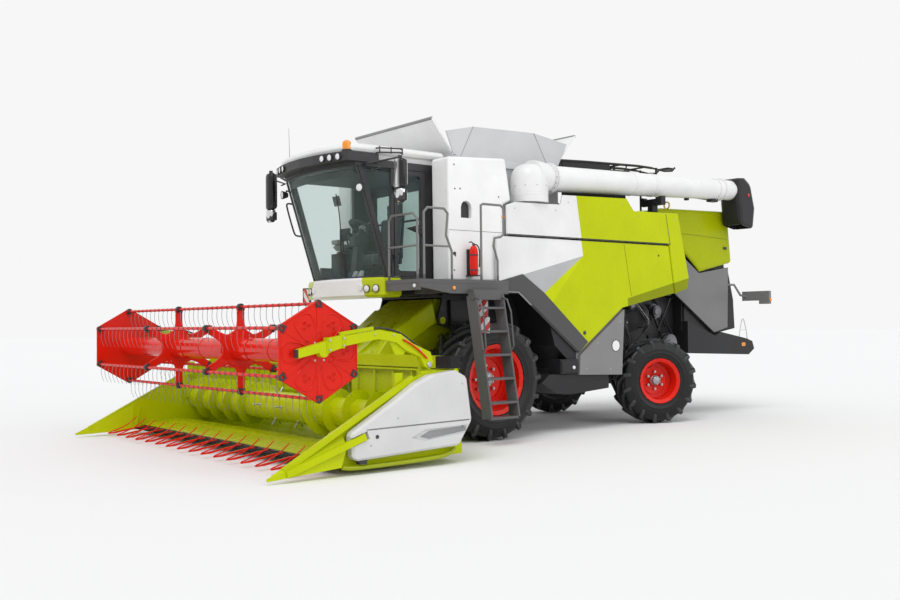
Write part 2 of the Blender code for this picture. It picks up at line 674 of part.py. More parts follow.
def cab_frame():
    """Floor, pillars, rear wall and head ring of the hollow cab."""
    floor = slab(plan(CAB_REAR, SILL_FRONT + 0.06, NOSE_BULGE, CAB_HALF), CAB_FLOOR, CAB_FLOOR + 0.10, "Z")
    ring = slab(plan(CAB_REAR, HEAD_FRONT, NOSE_BULGE, CAB_HALF), CAB_TOP - 0.10, CAB_TOP, "Z")
    opening = slab(
        plan(CAB_REAR + 0.08, HEAD_FRONT - 0.12, NOSE_BULGE, CAB_HALF - 0.08), CAB_TOP - 0.2,
        CAB_TOP + 0.1, "Z",
    )
    ring = cut(ring, [opening])
    wall = box(CAB_REAR, CAB_REAR + 0.05, -CAB_HALF, CAB_HALF, CAB_FLOOR, CAB_TOP)
    window = box(CAB_REAR - 0.1, CAB_REAR + 0.2, -0.55, 0.55, 2.85, 3.50)
    pieces = [cut(wall, [window]), floor, ring]
    middle = CAB_HALF - PILLAR / 2 - 0.005
    for sign in (1, -1):
        foot = (SILL_FRONT - 0.045, sign * middle, CAB_FLOOR + 0.02)
        head = (HEAD_FRONT - 0.065, sign * middle, CAB_TOP - 0.02)
        pieces.append(beam(foot, head, PILLAR, 0.07))
        pieces.append(
            box(
                CAB_REAR + 0.01, DOOR_REAR - 0.01,
                *sorted((sign * (CAB_HALF - 0.06), sign * (CAB_HALF - 0.003))), CAB_FLOOR + 0.005,
                CAB_TOP - 0.005,
            )
        )
    pieces.append(
        box(
            CAB_REAR + 0.02, SILL_FRONT - 0.05, -CAB_HALF + 0.007, -CAB_HALF + 0.05,
            CAB_FLOOR + 0.02, CAB_FLOOR + 0.30,
        )
    )
    post = box(
        DOOR_FRONT + 0.008, DOOR_FRONT + 0.05, CAB_HALF - 0.055, CAB_HALF - 0.001,
        CAB_FLOOR + 0.01, CAB_TOP - 0.01,
    )
    pieces.append(post)
    hx, hy = DOOR_FRONT + 0.004, DOOR_HINGE_Y
    lug = [(hx + 0.006, hy - 0.042), (hx + 0.04, hy - 0.042), (hx + 0.04, hy - 0.012)]
    lug += [
        (hx + 0.016, hy + 0.014), (hx - 0.008, hy + 0.014), (hx - 0.008, hy - 0.011),
        (hx + 0.0055, hy - 0.012),
    ]
    for z in DOOR_HINGES:
        pieces.append(slab(lug, z - 0.047, z - 0.0305, "Z"))
        pieces.append(slab(lug, z + 0.0305, z + 0.047, "Z"))
        pieces.append(rod((hx, hy, z - 0.04), (hx, hy, z + 0.04), 0.006, 10))
    return fuse(pieces)


def cab_door():
    """Glazed door between the rear pillar and the upright front post."""
    inner, outer = CAB_HALF - 0.045, CAB_HALF + 0.005
    low, high = CAB_FLOOR + 0.108, CAB_TOP - 0.108
    leaf = slab([(DOOR_REAR, low), (DOOR_FRONT, low), (DOOR_FRONT, high), (DOOR_REAR, high)], inner, outer)
    hole = bevelled(slab([
        (DOOR_REAR + 0.07, low + 0.07), (DOOR_FRONT - 0.05, low + 0.07),
        (DOOR_FRONT - 0.05, high - 0.06), (DOOR_REAR + 0.07, high - 0.06),
    ], inner - 0.1, outer + 0.1), 0.05, 3)
    latch = slab(
        [(DOOR_REAR + 0.03, 2.92), (DOOR_REAR + 0.30, 2.85), (DOOR_REAR + 0.03, 2.76)],
        inner + 0.02, outer + 0.03,
    )
    glass = slab([
        (DOOR_REAR + 0.0703, low + 0.0703), (DOOR_FRONT - 0.0503, low + 0.0703),
        (DOOR_FRONT - 0.0503, high - 0.0603), (DOOR_REAR + 0.0703, high - 0.0603),
    ], inner + 0.012, inner + 0.018)
    hx, hy = DOOR_FRONT + 0.004, DOOR_HINGE_Y
    barrels = []
    for z in DOOR_HINGES:
        barrels.append(rod((hx, hy, z - 0.03), (hx, hy, z + 0.03), 0.014, 10))
        barrels.append(box(hx - 0.06, hx - 0.002, outer - 0.006, hy - 0.002, z - 0.028, z + 0.028))
    bores = [rod((hx, hy, z - 0.1), (hx, hy, z + 0.1), 0.006 + PIN_GAP, 10) for z in DOOR_HINGES]
    frame = cut(fuse([cut(leaf, [hole]), latch] + barrels), bores)
    keep = bevelled(slab([
        (DOOR_REAR + 0.0703, low + 0.0703), (DOOR_FRONT - 0.0503, low + 0.0703),
        (DOOR_FRONT - 0.0503, high - 0.0603), (DOOR_REAR + 0.0703, high - 0.0603),
    ], inner - 0.1, outer + 0.1), 0.05, 3)
    glass = combine(glass, [keep], "INTERSECT")
    notch = slab([(DOOR_REAR, 2.94), (DOOR_REAR + 0.32, 2.85), (DOOR_REAR, 2.74)], inner - 0.1, outer + 0.1)
    return frame, cut(glass, [notch])


def bent_pane(low, high, inset):
    """The windscreen: one curved sheet from the floor to the head ring."""
    bm = bmesh.new()
    rows = []
    for z in (low, high):
        arc = front_arc(pillar_x(z), NOSE_BULGE, CAB_HALF - inset, 8)
        rows.append([bm.verts.new((x, y, z)) for x, y in arc])
    for a in range(8):
        bm.faces.new((rows[0][a], rows[0][a + 1], rows[1][a + 1], rows[1][a]))
    pane = solid_from(bm)
    thick = pane.modifiers.new("thick", "SOLIDIFY")
    thick.thickness = 0.008
    thick.offset = 1
    bpy.context.view_layer.update()
    return evaluated_solid(pane)


def side_window(sign, x_back):
    """Fixed side pane in the plane of the pillars."""
    high = CAB_TOP - 0.1003
    low = CAB_FLOOR + (0.21 if sign > 0 else 0.3003)
    gap = 0.10
    outline = [(x_back, low), (pillar_x(low) - gap, low), (pillar_x(high) - gap, high), (x_back, high)]
    inner, outer = sorted((sign * (CAB_HALF - 0.035), sign * (CAB_HALF - 0.027)))
    return slab(outline, inner, outer)


def mirror_head(x, y, z, height, arm_root):
    """A tall mirror housing with a small wide angle one below, on its arm."""
    shell = bevelled(box(x - 0.05, x + 0.05, y - 0.10, y + 0.10, z - height, z), 0.03, 2)
    small = bevelled(
        box(x - 0.04, x + 0.05, y - 0.09, y + 0.09, z - height - 0.19, z - height + 0.01), 0.03, 1,
    )
    elbow = (arm_root[0], math.copysign(1.0, y), arm_root[2])
    arm = pipe([arm_root, elbow, (x + 0.003, y, z + 0.03), (x + 0.002, y, z - 0.07)], 0.016, 6)
    return fuse([shell, small, arm])


def cab_roof():
    """White roof shell over the black visor, which carries the work lamps."""
    cap = slab(
        plan(CAB_REAR - 0.02, HEAD_FRONT + 0.06, 0.16, CAB_HALF + 0.01), CAB_TOP + 0.07,
        CAB_TOP + 0.19, "Z",
    )
    cap = bevelled(cap, 0.05, 2, 50)
    crown = slab(
        plan(CAB_REAR + 0.12, HEAD_FRONT - 0.12, 0.14, CAB_HALF - 0.16), CAB_TOP + 0.15,
        CAB_TOP + 0.225, "Z",
    )
    foot = slab(
        plan(CAB_REAR, HEAD_FRONT - 0.10, 0.10, CAB_HALF - 0.05), CAB_TOP + SEAT_GAP,
        CAB_TOP + 0.10, "Z",
    )
    return fuse([cap, bevelled(crown, 0.04, 2, 50), foot])


def cab_visor():
    """Black brow along the front of the roof, with lamp pockets."""
    outer = slab(
        plan(HEAD_FRONT - 0.35, HEAD_FRONT + 0.12, 0.17, CAB_HALF + 0.03), CAB_TOP - 0.05,
        CAB_TOP + 0.0697, "Z",
    )
    inner = slab(
        plan(HEAD_FRONT - 1.0, HEAD_FRONT - 0.05, NOSE_BULGE, CAB_HALF - 0.03), CAB_TOP - 0.2,
        CAB_TOP + 0.1, "Z",
    )
    visor = cut(outer, [inner])
    lamps = []
    for y in (-0.80, -0.66, -0.52, 0.52, 0.66, 0.80):
        share = y / (CAB_HALF + 0.03)
        x = HEAD_FRONT + 0.12 + 0.17 * (1 - share * share)
        lamps.append(rod((x - 0.05, y, CAB_TOP + 0.01), (x + 0.012, y, CAB_TOP + 0.005), 0.042, 10))
    return fuse([visor, joined(lamps)])


def seat():
    base = box(0.70, 1.05, -0.20, 0.20, CAB_FLOOR + 0.1003, 2.42)
    cushion = bevelled(box(0.62, 1.14, -0.27, 0.27, 2.40, 2.56), 0.04, 1)
    back = bevelled(slab([(0.60, 2.50), (0.76, 2.50), (0.68, 3.10), (0.54, 3.10)], -0.25, 0.25), 0.04, 1)
    head = bevelled(box(0.53, 0.66, -0.14, 0.14, 3.05, 3.30), 0.03, 1)
    arm = bevelled(box(0.66, 1.16, -0.42, -0.29, 2.62, 2.72), 0.03, 1)
    post = box(0.74, 0.84, -0.40, -0.20, 2.44, 2.66)
    screen = bevelled(box(1.14, 1.17, -0.52, -0.28, 2.76, 2.94), 0.01, 1)
    stalk = beam((1.12, -0.36, 2.68), (1.155, -0.38, 2.80), 0.03, 0.03)
    return fuse([base, cushion, back, head, arm, post, stalk, screen])


def steering_column():
    foot = box(1.16, 1.30, -0.09, 0.09, CAB_FLOOR + 0.1003, 2.30)
    column = beam((1.24, 0, 2.24), (1.17, 0, 2.84), 0.12, 0.10)
    rim_centre = Vector((1.12, 0, 2.92))
    tilt = Matrix.Translation(rim_centre) @ Matrix.Rotation(math.radians(-30), 4, "Y")
    rim_points = [
        tilt @ Vector((0.19 * math.cos(a * math.pi / 8), 0.19 * math.sin(a * math.pi / 8), 0))
        for a in range(16)
    ]
    rim = pipe(rim_points, 0.016, 6, closed=True)
    spokes = [
        beam(
            tilt @ Vector((0, 0, 0)), tilt @ Vector((0.185 * math.cos(a), 0.185 * math.sin(a), 0)),
            0.03, 0.02,
        )
        for a in (0.0, 2.1, 4.2)
    ]
    stub = rod(tilt @ Vector((0, 0, 0.02)), (1.17, 0, 2.80), 0.035, 8)
    return fuse([foot, column, stub] + spokes + [rim])


def cab_bumper():
    """Panel below the windscreen, with the lamp pods at both ends."""
    half = CAB_HALF + 0.04
    face = slab(
        plan(SILL_FRONT - 0.2, SILL_FRONT + 0.12, 0.19, half), CAB_FLOOR - 0.17, CAB_FLOOR + 0.09,
        "Z",
    )
    face = bevelled(face, 0.03, 1, 50)
    inside = plan(SILL_FRONT - 0.6, SILL_FRONT + 0.0603, NOSE_BULGE, CAB_HALF + 0.0003)
    shell = cut(face, [slab(inside, CAB_FLOOR - 0.14, CAB_FLOOR + 0.3, "Z")])
    lamps = []
    for y in (-0.78, -0.60, 0.60, 0.78):
        share = y / half
        x = SILL_FRONT + 0.12 + 0.19 * (1 - share * share)
        lamps.append(rod((x - 0.07, y, CAB_FLOOR - 0.04), (x + 0.01, y, CAB_FLOOR - 0.045), 0.045, 12))
    return fuse([shell, joined(lamps)])


def make_cab():
    frame = cab_frame()
    left_mirror = mirror_head(1.46, 1.40, 3.66, 0.36, (1.70, CAB_HALF - 0.03, CAB_TOP - 0.085))
    right_mirror = mirror_head(1.74, -1.50, 3.80, 0.52, (1.74, -CAB_HALF + 0.03, CAB_TOP - 0.085))
    part("cab_frame", fuse([frame, cab_visor(), left_mirror, right_mirror]), BLACK)
    part("cab_roof", cab_roof(), WHITE)
    part("windscreen", bent_pane(CAB_FLOOR + 0.1033, CAB_TOP - 0.1033, 0.005), GLASS)
    part("quarter_window", side_window(1, DOOR_FRONT + 0.0503), GLASS)
    part("side_window", side_window(-1, DOOR_REAR - 0.0097), GLASS)
    frame, pane = cab_door()
    hinge = (DOOR_FRONT + 0.004, DOOR_HINGE_Y, 0)
    part("cab_door", frame, BLACK, hinge)
    part("door_glass", pane, GLASS, hinge)
    part("operator_seat", seat(), SEAT_CLOTH)
    part("steering_column", steering_column(), BLACK)
    part("cab_bumper", cab_bumper(), WHITE)


# Body


def belly(x):
    """Height of the sloping underside of the inner body."""
    return 0.95 + (-0.50 - x) * 0.35 / 4.05


def feeder_bearing(sign):
    """Plate hanging from the body, bored for the feeder's trunnion."""
    px, pz = FEEDER_PIVOT
    outline = [
        (-0.10, 2.00), (0.28, 2.00), (0.38, pz + 0.06), (0.38, pz - 0.05), (0.25, pz - 0.09),
        (-0.10, 1.50),
    ]
    inner, outer = sorted((sign * (BODY_HALF - 0.035), sign * (BODY_HALF - 0.004)))
    bore = rod((px, inner - 0.02, pz), (px, outer + 0.02, pz), TRUNNION_R + PIN_GAP, 40)
    return cut(slab(outline, inner, outer), [bore])


def threshing_body():
    """Closed inner body: threshing bay, sieve box, engine deck and its bay."""
    seat_z = TANK_FLOOR - SEAT_GAP
    inner = [(0.30, 1.94), (-0.06, 1.94), (-0.08, 1.30), (-0.50, belly(-0.50)), (-4.55, belly(-4.55))]
    inner += [(-4.55, 3.00), (-1.80, 3.00), (-1.80, seat_z), (0.30, seat_z)]
    deck = [
        (-0.30, 1.98), (-3.72, 1.98), (-3.72, DECK_Z), (-1.745, DECK_Z), (-1.745, seat_z),
        (-0.30, seat_z),
    ]
    skirt = [(-0.95, 2.05), (-1.20, 1.25), (-1.62, 0.90), (-2.60, 0.90), (-2.60, 2.05)]
    pan = [(-0.75, 1.10), (-1.05, 0.72), (-2.75, 0.64), (-2.95, 0.80), (-2.95, 1.30)]
    shelf = [(-0.25, -1.36), (0.62, -1.36), (0.62, -0.95), (0.37, -0.95), (0.37, -0.70), (-0.25, -0.70)]
    pieces = [
        slab(inner, -BODY_HALF, BODY_HALF),
        slab(deck, -SIDE_HALF + 0.05, SIDE_HALF - 0.05),
        slab(skirt, -SIDE_HALF + 0.051, SIDE_HALF - 0.051),
        slab(pan, -0.58, 0.58),
        box(0.20, 1.10, -0.70, 0.70, 1.965, CAB_FLOOR - SEAT_GAP),
        slab(shelf, PLATFORM_Z - 0.08, PLATFORM_Z, "Z"),
        lower_panel(1),
        lower_panel(-1),
    ]
    body = fuse(pieces)
    bay = box(-3.50, -2.20, -0.62, 0.62, 2.30, DECK_Z + 0.3)
    chute = slab([(-4.70, 1.50), (-4.20, 1.60), (-4.20, 2.60), (-4.70, 2.60)], -0.62, 0.62)
    body = cut(body, [bay, chute])
    body = fuse([body] + [feeder_bearing(sign) for _, sign in SIDES])
    screen = bevelled(box(-2.95, -2.05, -1.05, -0.64, DECK_Z - 0.05, 3.82), 0.04, 1)
    silencer = rod((-3.55, -0.95, 3.42), (-2.98, -0.95, 3.42), 0.16, 12)
    stack = pipe([(-3.4, -0.95, 3.42), (-3.4, -0.95, 3.86), (-3.55, -0.95, 3.95)], 0.06, 8)
    stand = box(-3.5, -3.1, -1.05, -0.85, DECK_Z - 0.05, 3.35)
    y = TUBE_AXIS[1]
    post = box(-3.56, -3.44, y - 0.05, y + 0.05, DECK_Z - 0.02, 3.43)
    saddle = [(y - 0.22, 3.40), (y + 0.22, 3.40), (y + 0.22, 3.535), (y + 0.17, 3.535)]
    saddle += [(y + 0.12, 3.50), (y - 0.12, 3.50), (y - 0.17, 3.535), (y - 0.22, 3.535)]
    cradle = slab(saddle, -3.55, -3.45, "X")
    return fuse([body, screen, silencer, stand, stack, post, cradle])


def grain_tank():
    """Open hopper: straight walls above, sloping floors down to the cross auger trough."""
    half = TANK_HALF - 0.02
    corners = [
        (TANK_REAR, TANK_FLOOR), (TANK_FRONT, TANK_FLOOR), (TANK_FRONT, TANK_TOP),
        (TANK_REAR, TANK_TOP),
    ]
    shell = slab(corners, -half, half)
    wall = 0.03
    sheets = [(TANK_REAR + wall, TANK_TOP + 0.2), (TANK_REAR + wall, 3.20), (-0.95, TANK_FLOOR + 0.06)]
    sheets += [(-0.45, TANK_FLOOR + 0.06), (TANK_FRONT - wall, 3.20), (TANK_FRONT - wall, TANK_TOP + 0.2)]
    tank = cut(shell, [slab(sheets, -half + wall, half - wall)])
    ax, ay = TUBE_AXIS
    turret = rod((ax, ay, 2.82), (ax, ay, 3.2697), 0.14, 18)
    duct = box(ax - 0.17, ax + 0.17, half - 0.015, ay - 0.02, 2.84, 3.04)
    return fuse([tank, tank_side(1), tank_side(-1), turret, duct])


def tank_flap(base_x, top_x, top_z, half_low, half_high):
    """Front or rear extension flap with its folded rim."""
    lean = 0.012
    bm = bmesh.new()
    low = [(base_x, -half_low, TANK_TOP + 0.012), (base_x, half_low, TANK_TOP + 0.012)]
    high = [(top_x, half_high, top_z), (top_x, -half_high, top_z)]
    bm.faces.new([bm.verts.new(p) for p in low + high])
    sheet = solid_from(bm)
    thick = sheet.modifiers.new("thick", "SOLIDIFY")
    thick.thickness = 2 * lean
    thick.offset = 0
    bpy.context.view_layer.update()
    sheet = evaluated_solid(sheet)
    rim = rod((top_x, -half_high + 0.01, top_z), (top_x, half_high - 0.01, top_z), 0.02, 8)
    hinge = rod(
        (base_x, -half_low + 0.02, TANK_TOP + 0.022), (base_x, half_low - 0.02, TANK_TOP + 0.022),
        0.021, 8,
    )
    return fuse([sheet, rim, hinge])


def tank_side(sign):
    """Side extension with the two corner wings folded from it."""
    y = TANK_HALF + 0.005
    out = 0.05
    bm = bmesh.new()
    base = TANK_TOP - 0.05
    low_rear, low_front = bm.verts.new((-1.48, sign * y, base)), bm.verts.new((0.16, sign * y, base))
    top_front = bm.verts.new((-0.03, sign * (y + out), 4.30))
    top_rear = bm.verts.new((-1.17, sign * (y + out), 4.33))
    wing_front = bm.verts.new((0.42, sign * (y + 0.02), 4.20))
    wing_rear = bm.verts.new((-1.86, sign * (y + 0.02), 4.24))
    corner_front, corner_rear = bm.verts.new((0.28, sign * y, TANK_TOP + 0.01)), bm.verts.new(
        (-1.70, sign * y, TANK_TOP + 0.01)
    )
    bm.faces.new((low_rear, low_front, top_front, top_rear))
    bm.faces.new((low_front, corner_front, wing_front, top_front))
    bm.faces.new((low_rear, top_rear, wing_rear, corner_rear))
    sheet = solid_from(bm)
    thick = sheet.modifiers.new("thick", "SOLIDIFY")
    thick.thickness = 0.02
    thick.offset = 0
    bpy.context.view_layer.update()
    sheet = evaluated_solid(sheet)
    inner, outer = sorted((sign * (TANK_HALF - 0.03), sign * (TANK_HALF + 0.02)))
    rail = box(TANK_REAR + 0.02, TANK_FRONT - 0.02, inner, outer, TANK_TOP - 0.12, TANK_TOP - 0.02)
    return fuse([rail, sheet])


def tower(sign):
    """White cabinet beside the tank, with its arched window."""
    outer = 1.37
    low_z = PLATFORM_Z + SEAT_GAP
    outline = [(0.66, low_z), (0.67, 3.78), (-0.33, 3.84), (-0.43, 3.26), (-0.2903, 3.20), (-0.2903, low_z)]
    low, high = sorted((sign * (TANK_HALF + 0.0203), sign * outer))
    skin = bevelled(slab(outline, low, high), 0.03, 2)
    inner = [(0.60, low_z), (0.60, 3.5), (TANK_FRONT + 0.03, 3.5), (TANK_FRONT + 0.03, low_z)]
    cabinet = slab(inner, *sorted((sign * (CAB_HALF + 0.02), sign * (TANK_HALF + 0.05))))
    arch = [(0.46, 2.98)]
    for turn in range(0, 181, 30):
        angle = math.radians(turn)
        arch.append((0.37 + 0.09 * math.cos(angle), 3.12 + 0.09 * math.sin(angle)))
    arch.append((0.28, 2.98))
    window = slab(arch, *sorted((sign * (outer - 0.06), sign * (outer + 0.1))))
    return cut(fuse([skin, cabinet]), [window])


def upper_panel(sign):
    """Fixed panel above the break line, with the fixed rear quarter."""
    low = HINGE_Z + 0.015
    top = [(-0.2897, low), (-0.2897, 3.19), (-0.44, 3.24), (-1.31, 3.26), (-1.35, 3.40)]
    top += [(-2.69, 3.44), (-2.85, 3.26), (-3.87, 3.28)]
    top += [(-4.12, 2.26), (-4.09, 2.10), (-3.78, 2.01), (-3.66, low)]
    inner, outer = sorted((sign * (SIDE_HALF - 0.0497), sign * SIDE_HALF))
    return bevelled(slab(top, inner, outer), 0.012, 1)


DOOR_OUTLINE = [
    (-0.10, HINGE_Z - 0.008), (-0.10, 2.00), (-0.50, 1.99), (-1.64, 1.13), (-2.58, 1.79), (-3.77, 2.02),
    (-3.65, HINGE_Z - 0.008),
]
TRIM_OUTLINE = [
    (-0.115, 2.015), (-0.115, 2.14), (-0.56, 2.25), (-0.97, 1.99), (-1.82, 1.29), (-1.64, 1.147), (
        -0.505, 2.005,
    ),
]


def side_door(sign):
    """Large side door: a pressed sheet, with the dark chevron laid on its lower edge."""
    inner, outer = sorted((sign * (SIDE_HALF - 0.0497), sign * (SIDE_HALF - 0.012)))
    leaf = bevelled(slab(DOOR_OUTLINE, inner, outer), 0.01, 1)
    trim_in, trim_out = sorted((sign * (SIDE_HALF - 0.0117), sign * SIDE_HALF))
    return leaf, slab(TRIM_OUTLINE, trim_in, trim_out)


def lower_panel(sign):
    """Grey lower panel with its step box."""
    outline = [(-1.64, 0.82), (-1.66, 1.10), (-2.60, 1.76), (-2.5297, 0.79)]
    inner, outer = sorted((sign * (SIDE_HALF - 0.075), sign * SIDE_HALF))
    return slab(outline, inner, outer)


def rear_hood():
    """Lime hood over the straw outlet, a shell open below and in front."""
    outline = [(-3.7203, 2.95), (-3.7203, 3.36), (-4.00, 3.42), (-5.60, 3.46), (-5.71, 3.38)]
    outline += [(-5.79, 2.58), (-4.94, 2.40), (-4.50, 2.74), (-4.30, 2.95)]
    outer = bevelled(slab(outline, -HOOD_HALF, HOOD_HALF), 0.05, 2, 50)
    hollow = [(-3.5, 2.0), (-3.5, 3.33), (-4.01, 3.385), (-5.58, 3.425), (-5.675, 3.36), (-5.77, 2.2)]
    shell = cut(outer, [slab(hollow, -HOOD_HALF + 0.035, HOOD_HALF - 0.035)])
    seats = []
    for _, sign in SIDES:
        seats.append(
            box(-3.80, -3.7203, *sorted((sign * (HOOD_HALF - 0.11), sign * (HOOD_HALF - 0.012))), 3.0, 3.19)
        )
    return fuse([shell] + seats)


def hood_skirt():
    """Grey side sheets under the hood, joined across the rear, with the lamp arms."""
    outline = [(-4.42, 2.72), (-4.94, 2.385), (-5.73, 2.50), (-5.69, 1.47), (-5.33, 1.385), (-4.13, 2.16)]
    pieces = []
    for _, sign in SIDES:
        pieces.append(slab(outline, *sorted((sign * (HOOD_HALF - 0.0353), sign * (HOOD_HALF - 0.065)))))
    inner = HOOD_HALF - 0.05
    pieces.append(slab([(-5.69, 2.49), (-5.722, 2.49), (-5.68, 1.62), (-5.64, 1.62)], -inner, inner))
    pieces.append(box(-4.60, -4.5503, -inner, inner, 2.05, 2.35))
    pieces.append(rod((-5.72, -inner, 2.20), (-5.72, inner, 2.20), 0.03, 8))
    for _, sign in SIDES:
        bends = [(-5.72, 0.97, 2.20), (-5.80, 1.06, 2.20), (-5.92, 1.10, 2.02), (-5.96, 1.24, 1.98)]
        pieces.append(pipe([(x, sign * y, z) for x, y, z in bends], 0.02))
        pieces.append(box(-6.0, -5.94, *sorted((sign * 1.12, sign * 1.66)), 1.92, 2.08))
        pieces.append(box(-6.0, -5.94, *sorted((sign * 1.46, sign * 1.66)), 1.86, 1.94))
    return fuse(pieces)


def straw_spreader():
    """Chopper and spreading deck below the hood."""
    side = [(-4.56, 1.58), (-5.28, 1.33), (-5.45, 1.39), (-6.15, 1.27), (-6.31, 1.22), (-REAR_REACH, 1.09)]
    side += [(-6.20, 0.99), (-4.56, 1.05)]
    body = slab(side, -HOOD_HALF - 0.02, HOOD_HALF + 0.02)
    mouth = slab([
        (-5.40, 1.30), (-6.12, 1.225), (-6.6, 1.17), (-6.6, 0.9), (-6.18, 1.03), (-5.40, 1.10),
    ], -HOOD_HALF + 0.03, HOOD_HALF - 0.03)
    body = cut(body, [mouth])
    fins = joined(
        [box(-6.12, -5.30, y - 0.008, y + 0.008, 1.03, 1.27) for y in (-0.8, -0.48, -0.16, 0.16, 0.48, 0.8)]
    )
    hanger = joined(
        [box(-4.62, -4.5503, sign * 0.9 - 0.03, sign * 0.9 + 0.03, 1.50, 2.0497) for sign in (1, -1)]
    )
    return fuse([body, fins, hanger])


def unloading_tube():
    """Elbow on its upright turret, then the long tapered tube lying rearwards."""
    ax, ay = TUBE_AXIS
    base = rod((ax, ay, 3.27), (ax, ay, 3.42), 0.27, 18)
    dome = bmesh.new()
    bmesh.ops.create_uvsphere(dome, u_segments=16, v_segments=8, radius=0.30)
    bmesh.ops.scale(dome, vec=(0.9, 0.9, 0.8), verts=dome.verts)
    bmesh.ops.translate(dome, vec=(ax, ay, 3.58), verts=dome.verts)
    elbow = solid_from(dome)
    cutter = box(ax - 1, ax + 1, ay - 1, ay + 1, 3.0, 3.40)
    elbow = cut(elbow, [cutter])
    tube = rod((ax - 0.10, ay, TUBE_START_Z), (TUBE_END_X, ay, TUBE_END_Z), TUBE_R, 18, TUBE_R - 0.025)
    flange = rod(
        (ax - 0.34, ay, TUBE_START_Z + 0.008), (ax - 0.40, ay, TUBE_START_Z + 0.011),
        TUBE_R + 0.04, 18,
    )
    collar = rod(
        (TUBE_END_X + 0.42, ay, TUBE_END_Z - 0.014), (TUBE_END_X + 0.36, ay, TUBE_END_Z - 0.012),
        TUBE_R - 0.005, 18,
    )
    return fuse([base, elbow, tube, flange, collar])


def unloading_spout():
    """Black rubber mouth, bent downwards."""
    ay = TUBE_AXIS[1]
    x, z = TUBE_END_X + 0.02, TUBE_END_Z
    outline = [(x + 0.09, z - 0.20), (x + 0.11, z + 0.19), (x - 0.10, z + 0.205), (x - 0.26, z + 0.10)]
    outline += [(x - 0.37, z - 0.30), (x - 0.31, z - 0.66), (x + 0.04, z - 0.60)]
    skin = bevelled(slab(outline, ay - 0.20, ay + 0.20), 0.06, 2)
    hollow = [(x + 0.01, z - 0.12), (x + 0.01, z + 0.14), (x - 0.09, z + 0.165), (x - 0.225, z + 0.08)]
    hollow += [(x - 0.335, z - 0.30), (x - 0.27, z - 0.8), (x + 0.01, z - 0.8)]
    inside = slab(hollow, ay - 0.165, ay + 0.165)
    near, far = 0.6, -0.1
    rise = (TUBE_END_Z - TUBE_START_Z) / (TUBE_END_X - TUBE_AXIS[0] + 0.10)
    narrowing = 0.025 / (TUBE_END_X - TUBE_AXIS[0] + 0.10)
    ends = []
    for reach in (near, far):
        ends.append(
            (
                (TUBE_END_X + reach, ay, TUBE_END_Z + reach * rise),
                TUBE_R - 0.025 - reach * narrowing + SEAT_GAP,
            )
        )
    sleeve = rod(ends[0][0], ends[1][0], ends[0][1], 18, ends[1][1])
    return cut(skin, [inside, sleeve])


def engine_block():
    return box(-3.35, -2.35, -0.42, 0.42, 2.3003, 3.15)


# Platform, ladder and rails


def platform_left():
    """Walkway beside the cab with its guard rails and the boarding ladder."""
    inner = CAB_HALF + 0.05
    edge = [
        (1.40, inner), (1.40, PLATFORM_OUT), (-0.08, PLATFORM_OUT), (-0.08, 1.37), (-0.2997, 1.37),
        (-0.2997, inner),
    ]
    deck = slab(edge, PLATFORM_Z - 0.05, PLATFORM_Z, "Z")
    side = [
        (1.395, PLATFORM_Z - 0.01), (-0.075, PLATFORM_Z - 0.01), (-0.075, 1.96), (0.9, 1.96),
        (1.395, 2.04),
    ]
    fascia = slab(side, PLATFORM_OUT - 0.031, PLATFORM_OUT - 0.002)
    front = box(1.366, 1.397, inner + 0.003, PLATFORM_OUT - 0.006, 2.0, PLATFORM_Z - 0.02)
    brackets = [
        box(-0.24, -0.16, BODY_HALF + SEAT_GAP, 1.30, 2.00, PLATFORM_Z - 0.04),
        box(0.68, 0.76, 0.7003, PLATFORM_OUT - 0.02, 1.98, CAB_FLOOR - 0.008),
    ]
    y = PLATFORM_OUT - 0.026
    low = PLATFORM_Z - 0.012
    front_bends = [(1.38, 1.02, low), (1.38, 1.02, 2.90), (1.38, 1.08, 2.97), (1.38, y - 0.12, 2.97)]
    front_bends += [(1.38, y - 0.03, 2.90), (1.38, y - 0.03, low)]
    side_bends = [(1.30, y, low), (1.30, y, 2.98), (1.24, y, 3.04), (0.98, y, 3.04), (0.92, y, 2.98)]
    side_bends += [(0.95, y, 2.70), (0.86, y, 2.50), (0.86, y, low)]
    loop_bends = [
        (0.37, y, low), (0.37, y, 3.12), (0.33, y, 3.14), (0.03, y, 3.14), (-0.02, y, 3.10),
        (-0.02, y, 2.76),
    ]
    loop_bends += [(0.03, y, 2.72), (0.14, y, 2.70), (0.16, y, 2.60), (0.09, y, 2.40), (0.09, y, low)]
    rails = [pipe(bends, RAIL_R, 6) for bends in (front_bends, side_bends, loop_bends)]
    rails.append(rod((1.30, y, 2.56), (0.88, y, 2.56), RAIL_R - 0.003, 8))
    rails.append(rod((1.38, 1.02, 2.56), (1.38, y - 0.03, 2.56), RAIL_R - 0.003, 8))
    walkway = fuse([deck, fascia, front, joined(brackets)])
    return fuse([walkway] + rails + [ladder()])


